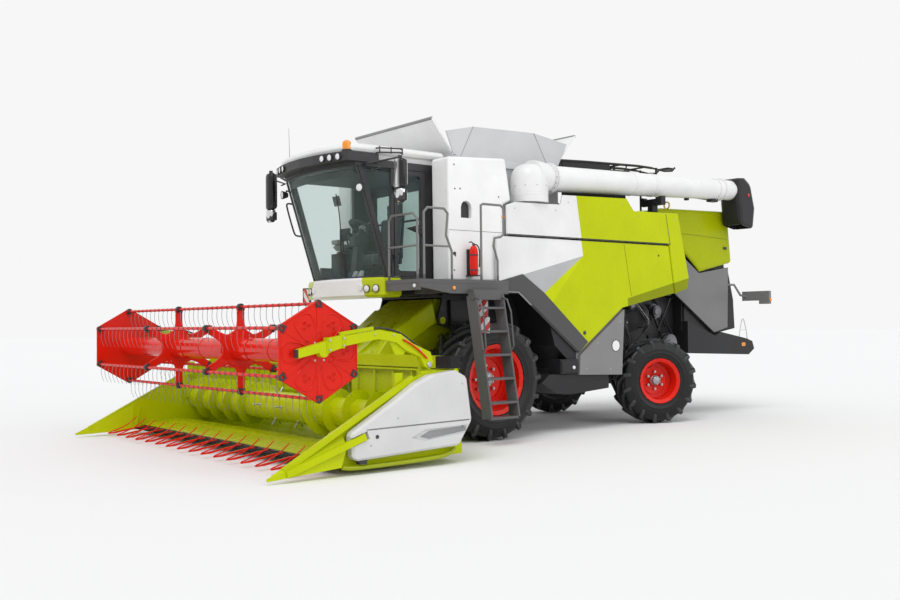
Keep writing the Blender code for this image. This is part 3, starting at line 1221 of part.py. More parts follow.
def ladder():
    """Boarding ladder with its two stringers, steps and hand rails."""
    top, bottom = Vector((0.36, 1.735, 1.94)), Vector((0.32, 1.99, 0.36))
    half = 0.23
    pieces = []
    for offset in (-half, half):
        shift = Vector((offset, 0, 0))
        pieces.append(beam(top + shift, bottom + shift, 0.03, 0.16))
    steps = []
    for number in range(5):
        share = (number + 0.55) / 5.2
        place = top.lerp(bottom, share)
        steps.append(
            box(
                place.x - half - 0.004, place.x + half + 0.004, place.y - 0.08, place.y + 0.09,
                place.z - 0.015, place.z + 0.015,
            )
        )
    foot = box(
        bottom.x - half - 0.004, bottom.x + half + 0.004, bottom.y - 0.10, bottom.y + 0.07,
        bottom.z - 0.012, bottom.z + 0.02,
    )
    pieces += [joined(steps), foot]
    pieces.append(
        box(
            top.x - half - 0.02, top.x + half + 0.02, PLATFORM_OUT - 0.01, top.y + 0.07,
            top.z - 0.06, top.z + 0.07,
        )
    )
    for offset in (-half, half):
        rail = [
            top + Vector((offset, 0.05, -0.02)),
            top + Vector((offset, 0.17, -0.06)),
            top + Vector((offset * 1.02, 0.24, -0.22)),
            top.lerp(bottom, 0.42) + Vector((offset * 1.02, 0.16, 0)),
            top.lerp(bottom, 0.5) + Vector((offset, 0.03, 0)),
        ]
        pieces.append(pipe(rail, 0.014, 4))
    return fuse(pieces)


def make_body():
    part("threshing_body", threshing_body(), BLACK)
    part("engine_block", engine_block(), STEEL)
    part("grain_tank", grain_tank(), TANK_SHEET)
    front = (TANK_FRONT - 0.03, 0, TANK_TOP + 0.022)
    rear = (TANK_REAR + 0.03, 0, TANK_TOP + 0.022)
    half = TANK_HALF - 0.03
    part("tank_flap_front", tank_flap(front[0], 0.61, 4.36, half, half), TANK_SHEET, front)
    part("tank_flap_rear", tank_flap(rear[0], -2.10, 4.40, half, half), TANK_SHEET, rear)
    for side, sign in SIDES:
        part(f"tower_{side}", tower(sign), WHITE)
        part(f"upper_panel_{side}", upper_panel(sign), LIME)
        leaf, trim = side_door(sign)
        hinge = (0, sign * (SIDE_HALF - 0.02), HINGE_Z)
        part(f"side_door_{side}", leaf, LIME, hinge)
        part(f"door_trim_{side}", trim, GREY, hinge)
    part("rear_hood", rear_hood(), LIME)
    part("hood_skirt", hood_skirt(), GREY)
    part("straw_spreader", straw_spreader(), BLACK)
    part("unloading_tube", unloading_tube(), WHITE, (*TUBE_AXIS, 0))
    part("unloading_spout", unloading_spout(), BLACK, (*TUBE_AXIS, 0))
    part("platform_left", platform_left(), GREY)


# Wheels and axles


def lug_ends(radius, half_width, row, number, count, slant):
    """The corner angles and places of one lug: its inner end leads its outer end."""
    pitch = 2 * math.pi / count
    phase = math.pi - pitch / 4 - slant / 2
    middle = phase + number * pitch + (pitch / 2 if row < 0 else 0)
    width = pitch * 0.13
    inner = (middle + slant / 2, row * -0.004, radius - LUG_HEIGHT - 0.03, radius)
    outer = (middle - slant / 2, row * half_width, radius - LUG_HEIGHT - 0.03, radius - 0.012)
    corners = []
    for turn, y, low, high in (inner, outer):
        for edge, r in ((-width, low), (width, low), (width, high), (-width, high)):
            corners.append((r * math.sin(turn + edge), y, r * math.cos(turn + edge)))
    return corners


def hub_height(radius, half_width, count, slant):
    """How high the hub stands when the tyre rests on the flat between two lugs."""
    heights = [
        -z
        for row in (1, -1)
        for number in range(count)
        for _, _, z in lug_ends(radius, half_width, row, number, count, slant)
    ]
    return max(heights)


def tyre(radius, width, rim_r, count, slant):
    """Carcass turned from its section, with two rows of chevron lugs, about its own centre."""
    half = width / 2
    base = radius - LUG_HEIGHT
    wall = (rim_r + base) / 2
    section = [(rim_r + SEAT_GAP, -0.80 * half), (rim_r + 0.05, -0.93 * half), (wall, -half)]
    section.append((base, -0.88 * half))
    section += [(r, -y) for r, y in section[::-1]]
    carcass = turned(section, (0, 0, 0), WHEEL_SEGMENTS)
    rows = []
    for row in (1, -1):
        bm = bmesh.new()
        for number in range(count):
            places = lug_ends(radius, half * LUG_REACH, row, number, count, slant)
            corner = [bm.verts.new(place) for place in places]
            bm.faces.new(corner[:4])
            bm.faces.new(corner[4:])
            for a in range(4):
                b = (a + 1) % 4
                bm.faces.new((corner[a], corner[b], corner[4 + b], corner[4 + a]))
        rows.append(solid_from(bm))
    return fuse([carcass] + rows)


def rim(rim_r, half, dish, bolts):
    """Wheel rim turned from its section, the dished side towards +Y, with its bolts."""
    section = [
        (0.0, dish + 0.03), (rim_r * 0.26, dish + 0.03), (rim_r * 0.30, dish), (rim_r - 0.05, dish + 0.02),
        (rim_r - 0.04, half), (rim_r + 0.016, half + 0.022), (rim_r, half), (rim_r, -half),
        (rim_r - 0.03, -half), (rim_r - 0.06, dish - 0.04), (0.0, dish - 0.04),
    ]
    wheel = turned(section, (0, 0, 0), WHEEL_SEGMENTS)
    studs = []
    for number in range(bolts):
        turn = 2 * math.pi * number / bolts
        x, z = rim_r * 0.40 * math.sin(turn), rim_r * 0.40 * math.cos(turn)
        studs.append(rod((x, dish - 0.03, z), (x, dish + 0.025, z), 0.02, 5))
    return fuse([wheel, joined(studs)])


FRONT_LUGS = (14, math.radians(19))
REAR_LUGS = (12, math.radians(20))
FRONT_DISH = 0.02
REAR_DISH = 0.0
FRONT_HUB_Z = hub_height(FRONT_TYRE_R, FRONT_TYRE_WIDTH / 2 * LUG_REACH, *FRONT_LUGS)
REAR_HUB_Z = hub_height(REAR_TYRE_R, REAR_TYRE_WIDTH / 2 * LUG_REACH, *REAR_LUGS)


def front_axle():
    """Axle tube, final drives with wheel flanges, and the side plates up to the body."""
    hub = FRONT_HUB_Z
    pieces = [bevelled(box(-0.13, 0.13, -0.74, 0.74, hub - 0.13, hub + 0.13), 0.03, 1)]
    ear = [(0.05, 0.70), (0.05, 0.60), (0.22, 0.50), (0.32, 0.52), (0.32, 0.62), (0.14, 0.72)]
    for _, sign in SIDES:
        face = sign * (FRONT_TRACK_HALF + FRONT_DISH - 0.04 - SEAT_GAP)
        pieces.append(rod((0, sign * 0.60, hub), (0, sign * 0.98, hub), 0.24, 18))
        pieces.append(rod((0, sign * 0.90, hub), (0, face, hub), 0.17, 16))
        plate = [(-0.42, hub - 0.05), (0.16, hub - 0.10), (0.20, 1.90), (-0.42, 1.90)]
        pieces.append(slab(plate, *sorted((sign * (BODY_HALF + SEAT_GAP), sign * (BODY_HALF + 0.045)))))
        pieces.append(slab(ear, *sorted((sign * (LIFT_Y + 0.0553), sign * (LIFT_Y + 0.075)))))
    return fuse(pieces)


def rear_axle():
    """Rear beam with its carrier plates and the forks that hold the king pins."""
    hub = REAR_HUB_Z
    x = -WHEELBASE
    pieces = [bevelled(box(x - 0.08, x + 0.08, -0.90, 0.90, hub - 0.09, hub + 0.11), 0.02, 1)]
    top = 0.0006
    carrier = [
        (x - 0.26, belly(x - 0.26) - top), (x - 0.10, hub), (x + 0.10, hub),
        (x + 0.30, belly(x + 0.30) - top),
    ]
    for sign in (1, -1):
        pieces.append(slab(carrier, *sorted((sign * 0.30, sign * 0.38))))
        inner, outer = sorted((sign * 0.86, sign * (KINGPIN_HALF + 0.045)))
        for low, high in ((hub + 0.0903, hub + 0.125), (hub - 0.125, hub - 0.0903)):
            pieces.append(box(x - 0.05, x + 0.05, inner, outer, low, high))
        pieces.append(
            box(x - 0.052, x + 0.052, *sorted((sign * 0.84, sign * 0.90)), hub - 0.125, hub + 0.125)
        )
    return fuse(pieces)


def knuckle(sign):
    """King pin block and spindle, modelled straight ahead."""
    hub = REAR_HUB_Z
    x = -WHEELBASE
    face = sign * (REAR_TRACK_HALF + REAR_DISH - 0.04 - SEAT_GAP)
    block = rod((x, sign * KINGPIN_HALF, hub - 0.09), (x, sign * KINGPIN_HALF, hub + 0.09), 0.045, 12)
    spindle = rod((x, sign * KINGPIN_HALF, hub), (x, face, hub), 0.06, 14)
    flange = rod((x, face - sign * 0.05, hub), (x, face, hub), 0.12, 16)
    lever = beam(
        (x + 0.02, sign * KINGPIN_HALF, hub + 0.03), (x + 0.20, sign * KINGPIN_HALF, hub + 0.03),
        0.05, 0.03,
    )
    return fuse([block, spindle, flange, lever])


def steered(obj, sign):
    """Turns a straight ahead piece to the angle at which the rear wheels stand."""
    pin = Matrix.Translation((-WHEELBASE, sign * KINGPIN_HALF, 0))
    return moved(obj, pin @ Matrix.Rotation(REST_STEER, 4, "Z") @ pin.inverted())


def wheel_centre(sign):
    pin = Vector((-WHEELBASE, sign * KINGPIN_HALF, REAR_HUB_Z))
    return pin + Matrix.Rotation(REST_STEER, 3, "Z") @ Vector((0, sign * (REAR_TRACK_HALF - KINGPIN_HALF), 0))


def make_wheels():
    for side, sign in SIDES:
        centre = (0, sign * FRONT_TRACK_HALF, FRONT_HUB_Z)
        place = Matrix.Translation(centre)
        front = moved(tyre(FRONT_TYRE_R, FRONT_TYRE_WIDTH, FRONT_RIM_R, *FRONT_LUGS), place)
        part(f"front_tyre_{side}", front, RUBBER, centre)
        wheel = rim(FRONT_RIM_R, FRONT_TYRE_WIDTH * 0.43, FRONT_DISH, 8)
        if sign < 0:
            wheel = mirrored_in_place(wheel)
        part(f"front_rim_{side}", moved(wheel, place), RED, centre)
        centre = (-WHEELBASE, sign * REAR_TRACK_HALF, REAR_HUB_Z)
        place = Matrix.Translation(centre)
        rear = steered(moved(tyre(REAR_TYRE_R, REAR_TYRE_WIDTH, REAR_RIM_R, *REAR_LUGS), place), sign)
        part(f"rear_tyre_{side}", rear, RUBBER, wheel_centre(sign))
        wheel = rim(REAR_RIM_R, REAR_TYRE_WIDTH * 0.43, REAR_DISH, 6)
        if sign < 0:
            wheel = mirrored_in_place(wheel)
        part(f"rear_rim_{side}", steered(moved(wheel, place), sign), RED, wheel_centre(sign))
        pin = (-WHEELBASE, sign * KINGPIN_HALF, 0)
        part(f"rear_knuckle_{side}", steered(knuckle(sign), sign), BLACK, pin)
    part("front_axle", front_axle(), BLACK)
    part("rear_axle", rear_axle(), BLACK)


def mirrored_in_place(obj):
    copy = mirrored(obj)
    bpy.data.objects.remove(obj, do_unlink=True)
    return copy


make_header()
make_cab()
make_body()
make_wheels()
bpy.context.view_layer.update()
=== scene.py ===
"""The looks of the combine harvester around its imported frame: camera, light, finishes and small pieces."""

import math

import bmesh
import bpy
from mathutils import Matrix, Vector


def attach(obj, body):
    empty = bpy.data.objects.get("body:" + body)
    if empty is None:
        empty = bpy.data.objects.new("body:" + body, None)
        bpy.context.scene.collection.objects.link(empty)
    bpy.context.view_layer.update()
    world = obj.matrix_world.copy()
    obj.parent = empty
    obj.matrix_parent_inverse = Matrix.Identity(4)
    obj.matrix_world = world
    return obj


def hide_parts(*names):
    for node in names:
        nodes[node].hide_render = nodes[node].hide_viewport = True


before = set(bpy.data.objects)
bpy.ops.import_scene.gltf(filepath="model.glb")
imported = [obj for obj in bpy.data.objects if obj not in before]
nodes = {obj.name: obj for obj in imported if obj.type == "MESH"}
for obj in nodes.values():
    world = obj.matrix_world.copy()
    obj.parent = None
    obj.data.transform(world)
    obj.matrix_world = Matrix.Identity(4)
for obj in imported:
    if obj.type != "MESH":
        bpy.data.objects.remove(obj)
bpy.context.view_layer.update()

# The photograph's camera stands at the left front, near the height of the tyres' tops.
CAMERA_AT = (9.993, 11.926, 1.569)
YAW = math.radians(232.07463)
PITCH = math.radians(1.351173)
ROLL = math.radians(-0.552845)
LENS = 40.804

# Lengths were measured from the front axle, which stands here in the part's frame.
AXLE_X = 1.11


def make_camera():
    """Places the camera by the angles that were solved from the photograph."""
    ahead = Vector((math.cos(YAW) * math.cos(PITCH), math.sin(YAW) * math.cos(PITCH), math.sin(PITCH)))
    side = Vector((math.sin(YAW), -math.cos(YAW), 0))
    up = side.cross(ahead)
    right = side * math.cos(ROLL) + up * math.sin(ROLL)
    top = up * math.cos(ROLL) - side * math.sin(ROLL)
    data = bpy.data.cameras.new("camera")
    data.lens = LENS
    data.sensor_width = 36
    data.clip_end = 400
    camera = bpy.data.objects.new("camera", data)
    rotation = Matrix((right, top, -ahead)).transposed().to_4x4()
    camera.matrix_world = Matrix.Translation(CAMERA_AT) @ rotation
    bpy.context.scene.collection.objects.link(camera)
    bpy.context.scene.camera = camera


# Shader nodes are written through one small helper.
class Shader:
    """Builds one node material: each call adds a node and gives its output socket."""

    def __init__(self, name):
        self.material = bpy.data.materials.new(name)
        self.material.use_nodes = True
        self.tree = self.material.node_tree
        self.bsdf = self.tree.nodes["Principled BSDF"]
        self.place = self.tree.nodes.new("ShaderNodeTexCoord").outputs["Object"]

    def put(self, socket, value):
        if isinstance(value, bpy.types.NodeSocket):
            self.tree.links.new(value, socket)
        elif isinstance(value, (tuple, list)) and socket.type == "RGBA":
            socket.default_value = (*value[:3], 1)
        else:
            socket.default_value = value

    def set(self, **values):
        for name, value in values.items():
            self.put(self.bsdf.inputs[name.replace("_", " ")], value)
        return self

    def math(self, operation, a, b=0.0, c=0.0):
        node = self.tree.nodes.new("ShaderNodeMath")
        node.operation = operation
        for socket, value in zip(node.inputs, (a, b, c)):
            self.put(socket, value)
        return node.outputs[0]

    def mix(self, share, a, b):
        node = self.tree.nodes.new("ShaderNodeMix")
        node.data_type = "RGBA"
        self.put(node.inputs[0], share)
        self.put(node.inputs[6], a)
        self.put(node.inputs[7], b)
        return node.outputs[2]

    def noise(self, scale, detail=2.0, place=None):
        node = self.tree.nodes.new("ShaderNodeTexNoise")
        self.put(node.inputs["Vector"], place or self.place)
        node.inputs["Scale"].default_value = scale
        node.inputs["Detail"].default_value = detail
        return node.outputs["Fac"]

    def spread(self, value, low, high, to_low, to_high):
        node = self.tree.nodes.new("ShaderNodeMapRange")
        for socket, number in zip(node.inputs, (value, low, high, to_low, to_high)):
            self.put(socket, number)
        return node.outputs[0]

    def flip(self, value):
        return self.math("SUBTRACT", 1.0, value)

    def axes(self, place=None):
        node = self.tree.nodes.new("ShaderNodeSeparateXYZ")
        self.put(node.inputs[0], place or self.place)
        return node.outputs

    def stretched(self, scale):
        node = self.tree.nodes.new("ShaderNodeMapping")
        self.put(node.inputs["Vector"], self.place)
        node.inputs["Scale"].default_value = scale
        return node.outputs[0]

    def facing_up(self):
        node = self.tree.nodes.new("ShaderNodeNewGeometry")
        return self.axes(node.outputs["Normal"])[2]

    def bump(self, height, distance, strength=1.0, before=None):
        node = self.tree.nodes.new("ShaderNodeBump")
        node.inputs["Strength"].default_value = strength
        node.inputs["Distance"].default_value = distance
        self.put(node.inputs["Height"], height)
        if before is not None:
            self.put(node.inputs["Normal"], before)
        return node.outputs[0]

    def rounded(self, radius):
        node = self.tree.nodes.new("ShaderNodeBevel")
        node.samples = 4
        node.inputs["Radius"].default_value = radius
        return node.outputs[0]

    def side_of(self, start, end):
        """1 above the line from start to end in the plane of length and height, 0 below it."""
        x, z = self.axes()[0], self.axes()[2]
        slope = (end[1] - start[1]) / (end[0] - start[0])
        line = self.math("MULTIPLY_ADD", self.math("SUBTRACT", x, start[0]), slope, start[1])
        return self.math("GREATER_THAN", z, line)

    def ahead_of(self, start, end):
        """1 in front of the steep line from start to end in the plane of length and height."""
        x, z = self.axes()[0], self.axes()[2]
        slope = (end[0] - start[0]) / (end[1] - start[1])
        line = self.math("MULTIPLY_ADD", self.math("SUBTRACT", z, start[1]), slope, start[0])
        return self.math("GREATER_THAN", x, line)


def tinted(colour, by):
    return tuple(min(1, channel * by) for channel in colour)


LIME = (0.52, 0.60, 0.002)
WHITE = (0.84, 0.84, 0.835)
LIGHT_GREY = (0.47, 0.475, 0.48)
DARK_GREY = (0.115, 0.113, 0.116)
PANEL_GREY = (0.235, 0.232, 0.235)
CHEVRON_GREY = (0.080, 0.079, 0.080)
RAIL_GREY = (0.21, 0.21, 0.205)
SKIRT_GREY = (0.20, 0.198, 0.20)
BLACK = (0.022, 0.022, 0.024)
SOFT_BLACK = (0.030, 0.030, 0.032)
RED = (0.74, 0.016, 0.006)
SHEET = (0.62, 0.625, 0.63)

# Gloss, coat, dust and sheen of the outer panels.
PANEL_GLOSS = (0.26, 0.05, 0.03, 0.10)


def paint_finish(shader, colour, gloss=0.30, coat=0.15, dust=0.05, sheen=0.22):
    """A sprayed coat over sheet metal: faint patches, orange peel, a clear top and a little dust on top."""
    fine = shader.spread(shader.noise(2.2, 4), 0.3, 0.7, 0.0, 1.0)
    even = shader.mix(fine, shader.mix(0.09, colour, (0.0, 0.0, 0.0)), colour)
    if dust:
        level = shader.spread(shader.facing_up(), 0.6, 1.0, 0.0, dust)
        dusty = shader.math("MULTIPLY", level, shader.spread(shader.noise(9, 4), 0.4, 0.7, 0.0, 1.0))
        even = shader.mix(dusty, even, (0.42, 0.39, 0.33))
    shader.set(Base_Color=even)
    shader.set(Roughness=shader.spread(shader.noise(14, 3), 0.3, 0.7, gloss - 0.04, gloss + 0.05))
    shader.set(Coat_Weight=coat, Coat_Roughness=0.08, Specular_IOR_Level=sheen)
    peel = shader.noise(260, 1)
    shader.set(Normal=shader.bump(peel, 0.0004, 0.05, shader.rounded(0.005)))
    return shader.material


def paint(name, colour, gloss=0.30, coat=0.15, dust=0.05, sheen=0.22):
    return paint_finish(Shader(name), colour, gloss, coat, dust, sheen)


def side_zones(name):
    """White in front, light grey in the wedge and lime behind, split where the photograph splits them."""
    shader = Shader(name)
    corner = (AXLE_X - 1.75, 2.54)
    white_top = shader.ahead_of((AXLE_X - 1.61, 3.42), corner)
    above_white = shader.side_of(corner, (AXLE_X - 0.56, 2.24))
    above_lime = shader.side_of(corner, (AXLE_X - 0.97, 1.99))
    grey = shader.math("MULTIPLY", white_top, above_lime)
    white = shader.math("MULTIPLY", white_top, above_white)
    x, z = shader.axes()[0], shader.axes()[2]
    # Painted shade: the fold low behind, which faces down, is given half-bright lime.
    below = shader.flip(shader.side_of((AXLE_X - 2.75, 1.946), (AXLE_X - 4.10, 2.263)))
    folded = shader.math("MULTIPLY", below, shader.math("LESS_THAN", x, AXLE_X - 2.69))
    # Painted highlight: the facet before the crease is given lighter lime.
    crease_highlight = shader.ahead_of(corner, (AXLE_X - 1.10, 1.837))
    crease_highlight = shader.math("MULTIPLY", crease_highlight, shader.math("LESS_THAN", z, 2.54))
    lime = shader.mix(crease_highlight, LIME, tinted(LIME, 1.12))
    lime = shader.mix(folded, lime, tinted(LIME, 0.50))
    under = shader.flip(shader.side_of((AXLE_X - 0.97, 1.99), (AXLE_X - 1.82, 1.29)))
    trim = shader.math("MULTIPLY", under, shader.math("GREATER_THAN", x, AXLE_X - 1.66))
    lime = shader.mix(trim, lime, DARK_GREY)
    colour = shader.mix(grey, lime, LIGHT_GREY)
    return paint_finish(shader, shader.mix(white, colour, WHITE), *PANEL_GLOSS)


def table_zones(name):
    """Lime, with the beam's outer ends behind the back wall black as painted shade."""
    shader = Shader(name)
    x, y, z = shader.axes()
    # Painted shade: the beam's outer ends are given black.
    end = shader.math("GREATER_THAN", shader.math("ABSOLUTE", y), 2.50)
    end = shader.math("MULTIPLY", end, shader.math("GREATER_THAN", z, 1.062))
    end = shader.math("MULTIPLY", end, shader.math("LESS_THAN", x, AXLE_X + 1.86))
    return paint_finish(shader, shader.mix(end, LIME, BLACK), *PANEL_GLOSS)


def body_zones(name):
    """Black sheet metal with a mid grey panel low on both sides."""
    shader = Shader(name)
    x, y, z = shader.axes()
    panel = shader.math("GREATER_THAN", shader.math("ABSOLUTE", y), 1.368)
    panel = shader.math("MULTIPLY", panel, shader.math("LESS_THAN", z, 1.80))
    panel = shader.math("MULTIPLY", panel, shader.math("LESS_THAN", x, AXLE_X - 1.62))
    return paint_finish(shader, shader.mix(panel, BLACK, PANEL_GREY), 0.40, 0.10, 0.03)


def deck_zones(name):
    """Dark grey deck and ladder with lighter hand rails above."""
    shader = Shader(name)
    above = shader.math("GREATER_THAN", shader.axes()[2], 2.20)
    return paint_finish(shader, shader.mix(above, DARK_GREY, RAIL_GREY), 0.36, 0.1)


def skirt_zones(name):
    """Grey hood skirt with black lamp arms and tail lamp boxes behind it."""
    shader = Shader(name)
    behind = shader.math("LESS_THAN", shader.axes()[0], -5.72)
    return paint_finish(shader, shader.mix(behind, SKIRT_GREY, SOFT_BLACK), 0.42, 0.1)


def ends_painted(name):
    """White in the middle and lime towards both ends."""
    shader = Shader(name)
    out = shader.math("ABSOLUTE", shader.axes()[1])
    slope = shader.math("MULTIPLY_ADD", shader.axes()[2], -0.25, 1.16)
    return paint_finish(shader, shader.mix(shader.math("GREATER_THAN", out, slope), WHITE, LIME))


def black_plastic(name, colour=BLACK, rough=0.5, grain=900):
    shader = Shader(name)
    shader.set(Base_Color=shader.mix(shader.noise(3, 3), colour, tinted(colour, 1.5)))
    shader.set(Roughness=shader.spread(shader.noise(30, 3), 0.3, 0.7, rough - 0.08, rough + 0.08))
    shader.set(Normal=shader.bump(shader.noise(grain, 2), 0.0008, 0.22, shader.rounded(0.003)))
    return shader.material


def glowing(material, colour, strength):
    """The faint glow that daylight behind the cab gives its rear lining."""
    sockets = material.node_tree.nodes["Principled BSDF"].inputs
    sockets["Emission Color"].default_value = (*colour, 1)
    sockets["Emission Strength"].default_value = strength
    return material


def rubber(name, colour=(0.0070, 0.0073, 0.0078)):
    shader = Shader(name)
    dusty = shader.spread(shader.noise(6, 5), 0.50, 0.80, 0.0, 0.30)
    shader.set(Base_Color=shader.mix(dusty, colour, (0.026, 0.025, 0.024)))
    shader.set(Roughness=shader.spread(shader.noise(24, 4), 0.3, 0.7, 0.24, 0.38), Specular_IOR_Level=0.30)
    shader.set(Normal=shader.bump(shader.noise(160, 5), 0.0015, 0.35, shader.rounded(0.006)))
    return shader.material


def painted_reflection_shell(name):
    """A painted reflection on the mirror backs: bright in the middle of the left mirror and dark towards its
    edges; the right one is dark.
    """
    shader = Shader(name)
    away = shader.math("ABSOLUTE", shader.math("SUBTRACT", shader.axes()[1], 1.375))
    share = shader.spread(away, 0.015, 0.085, 1.0, 0.0)
    shader.set(Base_Color=shader.mix(share, (0.035, 0.035, 0.036), (0.82, 0.82, 0.83)))
    shader.set(Metallic=0.85, Roughness=shader.spread(shader.noise(20, 2), 0.3, 0.7, 0.12, 0.2))
    return shader.material


def fabric(name, colour):
    """Woven seat cloth: two crossing waves, worn patches and a soft sheen."""
    shader = Shader(name)
    waves = []
    for direction in ("X", "Z"):
        wave = shader.tree.nodes.new("ShaderNodeTexWave")
        wave.bands_direction = direction
        shader.put(wave.inputs["Vector"], shader.place)
        wave.inputs["Scale"].default_value = 160
        waves.append(wave.outputs["Fac"])
    weave = shader.math("MULTIPLY", waves[0], waves[1])
    worn = shader.spread(shader.noise(7, 4), 0.4, 0.7, 0.0, 0.6)
    base = shader.mix(worn, colour, tinted(colour, 1.6))
    shader.set(Base_Color=shader.mix(weave, tinted(colour, 0.7), base))
    shader.set(Roughness=shader.spread(worn, 0.0, 1.0, 0.78, 0.92))
    shader.set(Sheen_Weight=0.35, Sheen_Roughness=0.5, Specular_IOR_Level=0.2)
    shader.set(Normal=shader.bump(weave, 0.0008, 0.4))
    return shader.material


def steel(name, colour=(0.50, 0.50, 0.51), rough=0.32, metal=1.0):
    shader = Shader(name)
    grain = shader.noise(60, 4, shader.stretched((1, 12, 12)))
    shader.set(Base_Color=shader.mix(shader.spread(grain, 0.3, 0.7, 0, 0.5), colour, tinted(colour, 0.78)))
    shader.set(Metallic=metal)
    shader.set(Roughness=shader.spread(grain, 0.3, 0.7, rough - 0.06, rough + 0.1))
    shader.set(Normal=shader.bump(grain, 0.0005, 0.15, shader.rounded(0.002)))
    return shader.material


def glass(name, colour=(0.62, 0.80, 0.76)):
    """Tinted safety glass: mostly see-through, with a green cast and a sharp sheen."""
    shader = Shader(name)
    tree = shader.tree
    clear = tree.nodes.new("ShaderNodeBsdfTransparent")
    clear.inputs[0].default_value = (*colour, 1)
    sheen = tree.nodes.new("ShaderNodeFresnel")
    sheen.inputs["IOR"].default_value = 1.45
    share = shader.math("MINIMUM", shader.math("MULTIPLY_ADD", sheen.outputs[0], 0.9, 0.01), 0.10)
    shader.set(Base_Color=shader.mix(shader.noise(0.8, 2), (0.30, 0.42, 0.40), (0.36, 0.48, 0.45)))
    shader.set(Roughness=shader.spread(shader.noise(3, 4), 0.3, 0.8, 0.02, 0.06), Specular_IOR_Level=0.6)
    both = tree.nodes.new("ShaderNodeMixShader")
    tree.links.new(share, both.inputs[0])
    tree.links.new(clear.outputs[0], both.inputs[1])
    tree.links.new(shader.bsdf.outputs[0], both.inputs[2])
    tree.links.new(both.outputs[0], tree.nodes["Material Output"].inputs["Surface"])
    return shader.material


def lens(name, colour, clear=0.1):
    """Ribbed lamp glass over a bright reflector."""
    shader = Shader(name)
    shader.set(Base_Color=shader.mix(shader.noise(60, 2), colour, tinted(colour, 0.8)))
    shader.set(Roughness=shader.spread(shader.noise(20, 2), 0.3, 0.7, 0.05, 0.14), Metallic=clear)
    shader.set(Coat_Weight=0.6, Coat_Roughness=0.03)
    wave = shader.tree.nodes.new("ShaderNodeTexWave")
    shader.put(wave.inputs["Vector"], shader.place)
    wave.inputs["Scale"].default_value = 60
    shader.set(Normal=shader.bump(wave.outputs["Fac"], 0.001, 0.35, shader.rounded(0.002)))
    return shader.material


def stripes(name):
    """Retroreflective board with slanting red and white bands."""
    shader = Shader(name)
    x, y, z = shader.axes()
    slant = shader.math("ADD", shader.math("ADD", x, y), z)
    band = shader.math("GREATER_THAN", shader.math("FRACT", shader.math("MULTIPLY", slant, 5.2)), 0.5)
    beads = shader.noise(900, 1)
    shader.set(Base_Color=shader.mix(band, (0.80, 0.80, 0.80), (0.62, 0.02, 0.02)))
    shader.set(Roughness=shader.spread(beads, 0.3, 0.7, 0.25, 0.4))
    shader.set(Normal=shader.bump(beads, 0.0004, 0.15))
    return shader.material


# Loose solids are gathered in one mesh per piece. A turned profile starts and ends this near to its axis.
AXIS = 0.001
ACROSS = (0, 1, 0)
UP = (0, 0, 1)


class Shape:
    """Gathers closed solids, in metres and in the frame of the front axle, into one mesh."""

    def __init__(self):
        self.points = []
        self.faces = []

    def add(self, points, faces):
        start = len(self.points)
        self.points += [tuple(point) for point in points]
        self.faces += [tuple(start + corner for corner in face) for face in faces]
        return self

    def rings(self, rings, caps=True, closed=False):
        """Joins rings of points one after another."""
        count = len(rings[0])
        points = [point for ring in rings for point in ring]
        faces = []
        pairs = len(rings) if closed else len(rings) - 1
        for number in range(pairs):
            low, high = number * count, (number + 1) % len(rings) * count
            for a in range(count):
                b = (a + 1) % count
                faces.append((low + a, low + b, high + b, high + a))
        if caps and not closed:
            faces.append(tuple(range(count))[::-1])
            faces.append(tuple(range(len(points) - count, len(points))))
        return self.add(points, faces)

    def tube(self, path, radius, sides=8, smooth=0):
        """A round bar along a path. The radius may be a list, one for each point of the path."""
        path = [Vector(point) for point in path]
        radii = radius if isinstance(radius, (list, tuple)) else [radius] * len(path)
        if smooth:
            path, radii = smoothed(path, radii, smooth)
        ahead = (path[1] - path[0]).normalized()
        across = ahead.orthogonal().normalized()
        rings = []
        for number, point in enumerate(path):
            before = path[max(0, number - 1)]
            after = path[min(len(path) - 1, number + 1)]
            turned = (after - before).normalized()
            across = (across - turned * across.dot(turned)).normalized()
            other = turned.cross(across)
            ring = []
            for side in range(sides):
                angle = 2 * math.pi * side / sides
                ring.append(point + (across * math.cos(angle) + other * math.sin(angle)) * radii[number])
            rings.append(ring)
        return self.rings(rings)

    def lathe(self, profile, at, axis, steps=48, start=0.0):
        """A closed profile of (radius, height) turned about an axis through at."""
        axis = Vector(axis).normalized()
        across = axis.orthogonal().normalized()
        other = axis.cross(across)
        rings = []
        for step in range(steps):
            angle = start + 2 * math.pi * step / steps
            out = across * math.cos(angle) + other * math.sin(angle)
            rings.append([Vector(at) + out * radius + axis * height for radius, height in profile])
        return self.rings(rings, closed=True)

    def slab(self, outline, low, high, flat=False):
        """An upright (x, z) outline made thick along Y, or a flat (x, y) one made thick along Z."""
        if flat:
            return self.rings([[(a, b, level) for a, b in outline] for level in (low, high)])
        return self.rings([[(a, level, b) for a, b in outline] for level in (low, high)])

    def box(self, x, y, z):
        return self.slab([(x[0], z[0]), (x[1], z[0]), (x[1], z[1]), (x[0], z[1])], y[0], y[1])

    def beam(self, start, end, width, height, up=UP):
        start, end = Vector(start), Vector(end)
        ahead = (end - start).normalized()
        side = ahead.cross(Vector(up)).normalized() * width / 2
        top = side.cross(ahead).normalized() * height / 2
        corners = [-side - top, side - top, side + top, top - side]
        return self.rings([[end_point + corner for corner in corners] for end_point in (start, end)])

    def both_sides(self):
        """Adds the mirror image across the machine's middle plane."""
        points = [(x, -y, z) for x, y, z in self.points]
        return self.add(points, [face[::-1] for face in self.faces])

    def moved(self, matrix):
        self.points = [tuple(matrix @ Vector(point)) for point in self.points]
        return self


def shapes(count):
    return [Shape() for _ in range(count)]


def on_both_sides(*group):
    for shape in group:
        shape.both_sides()


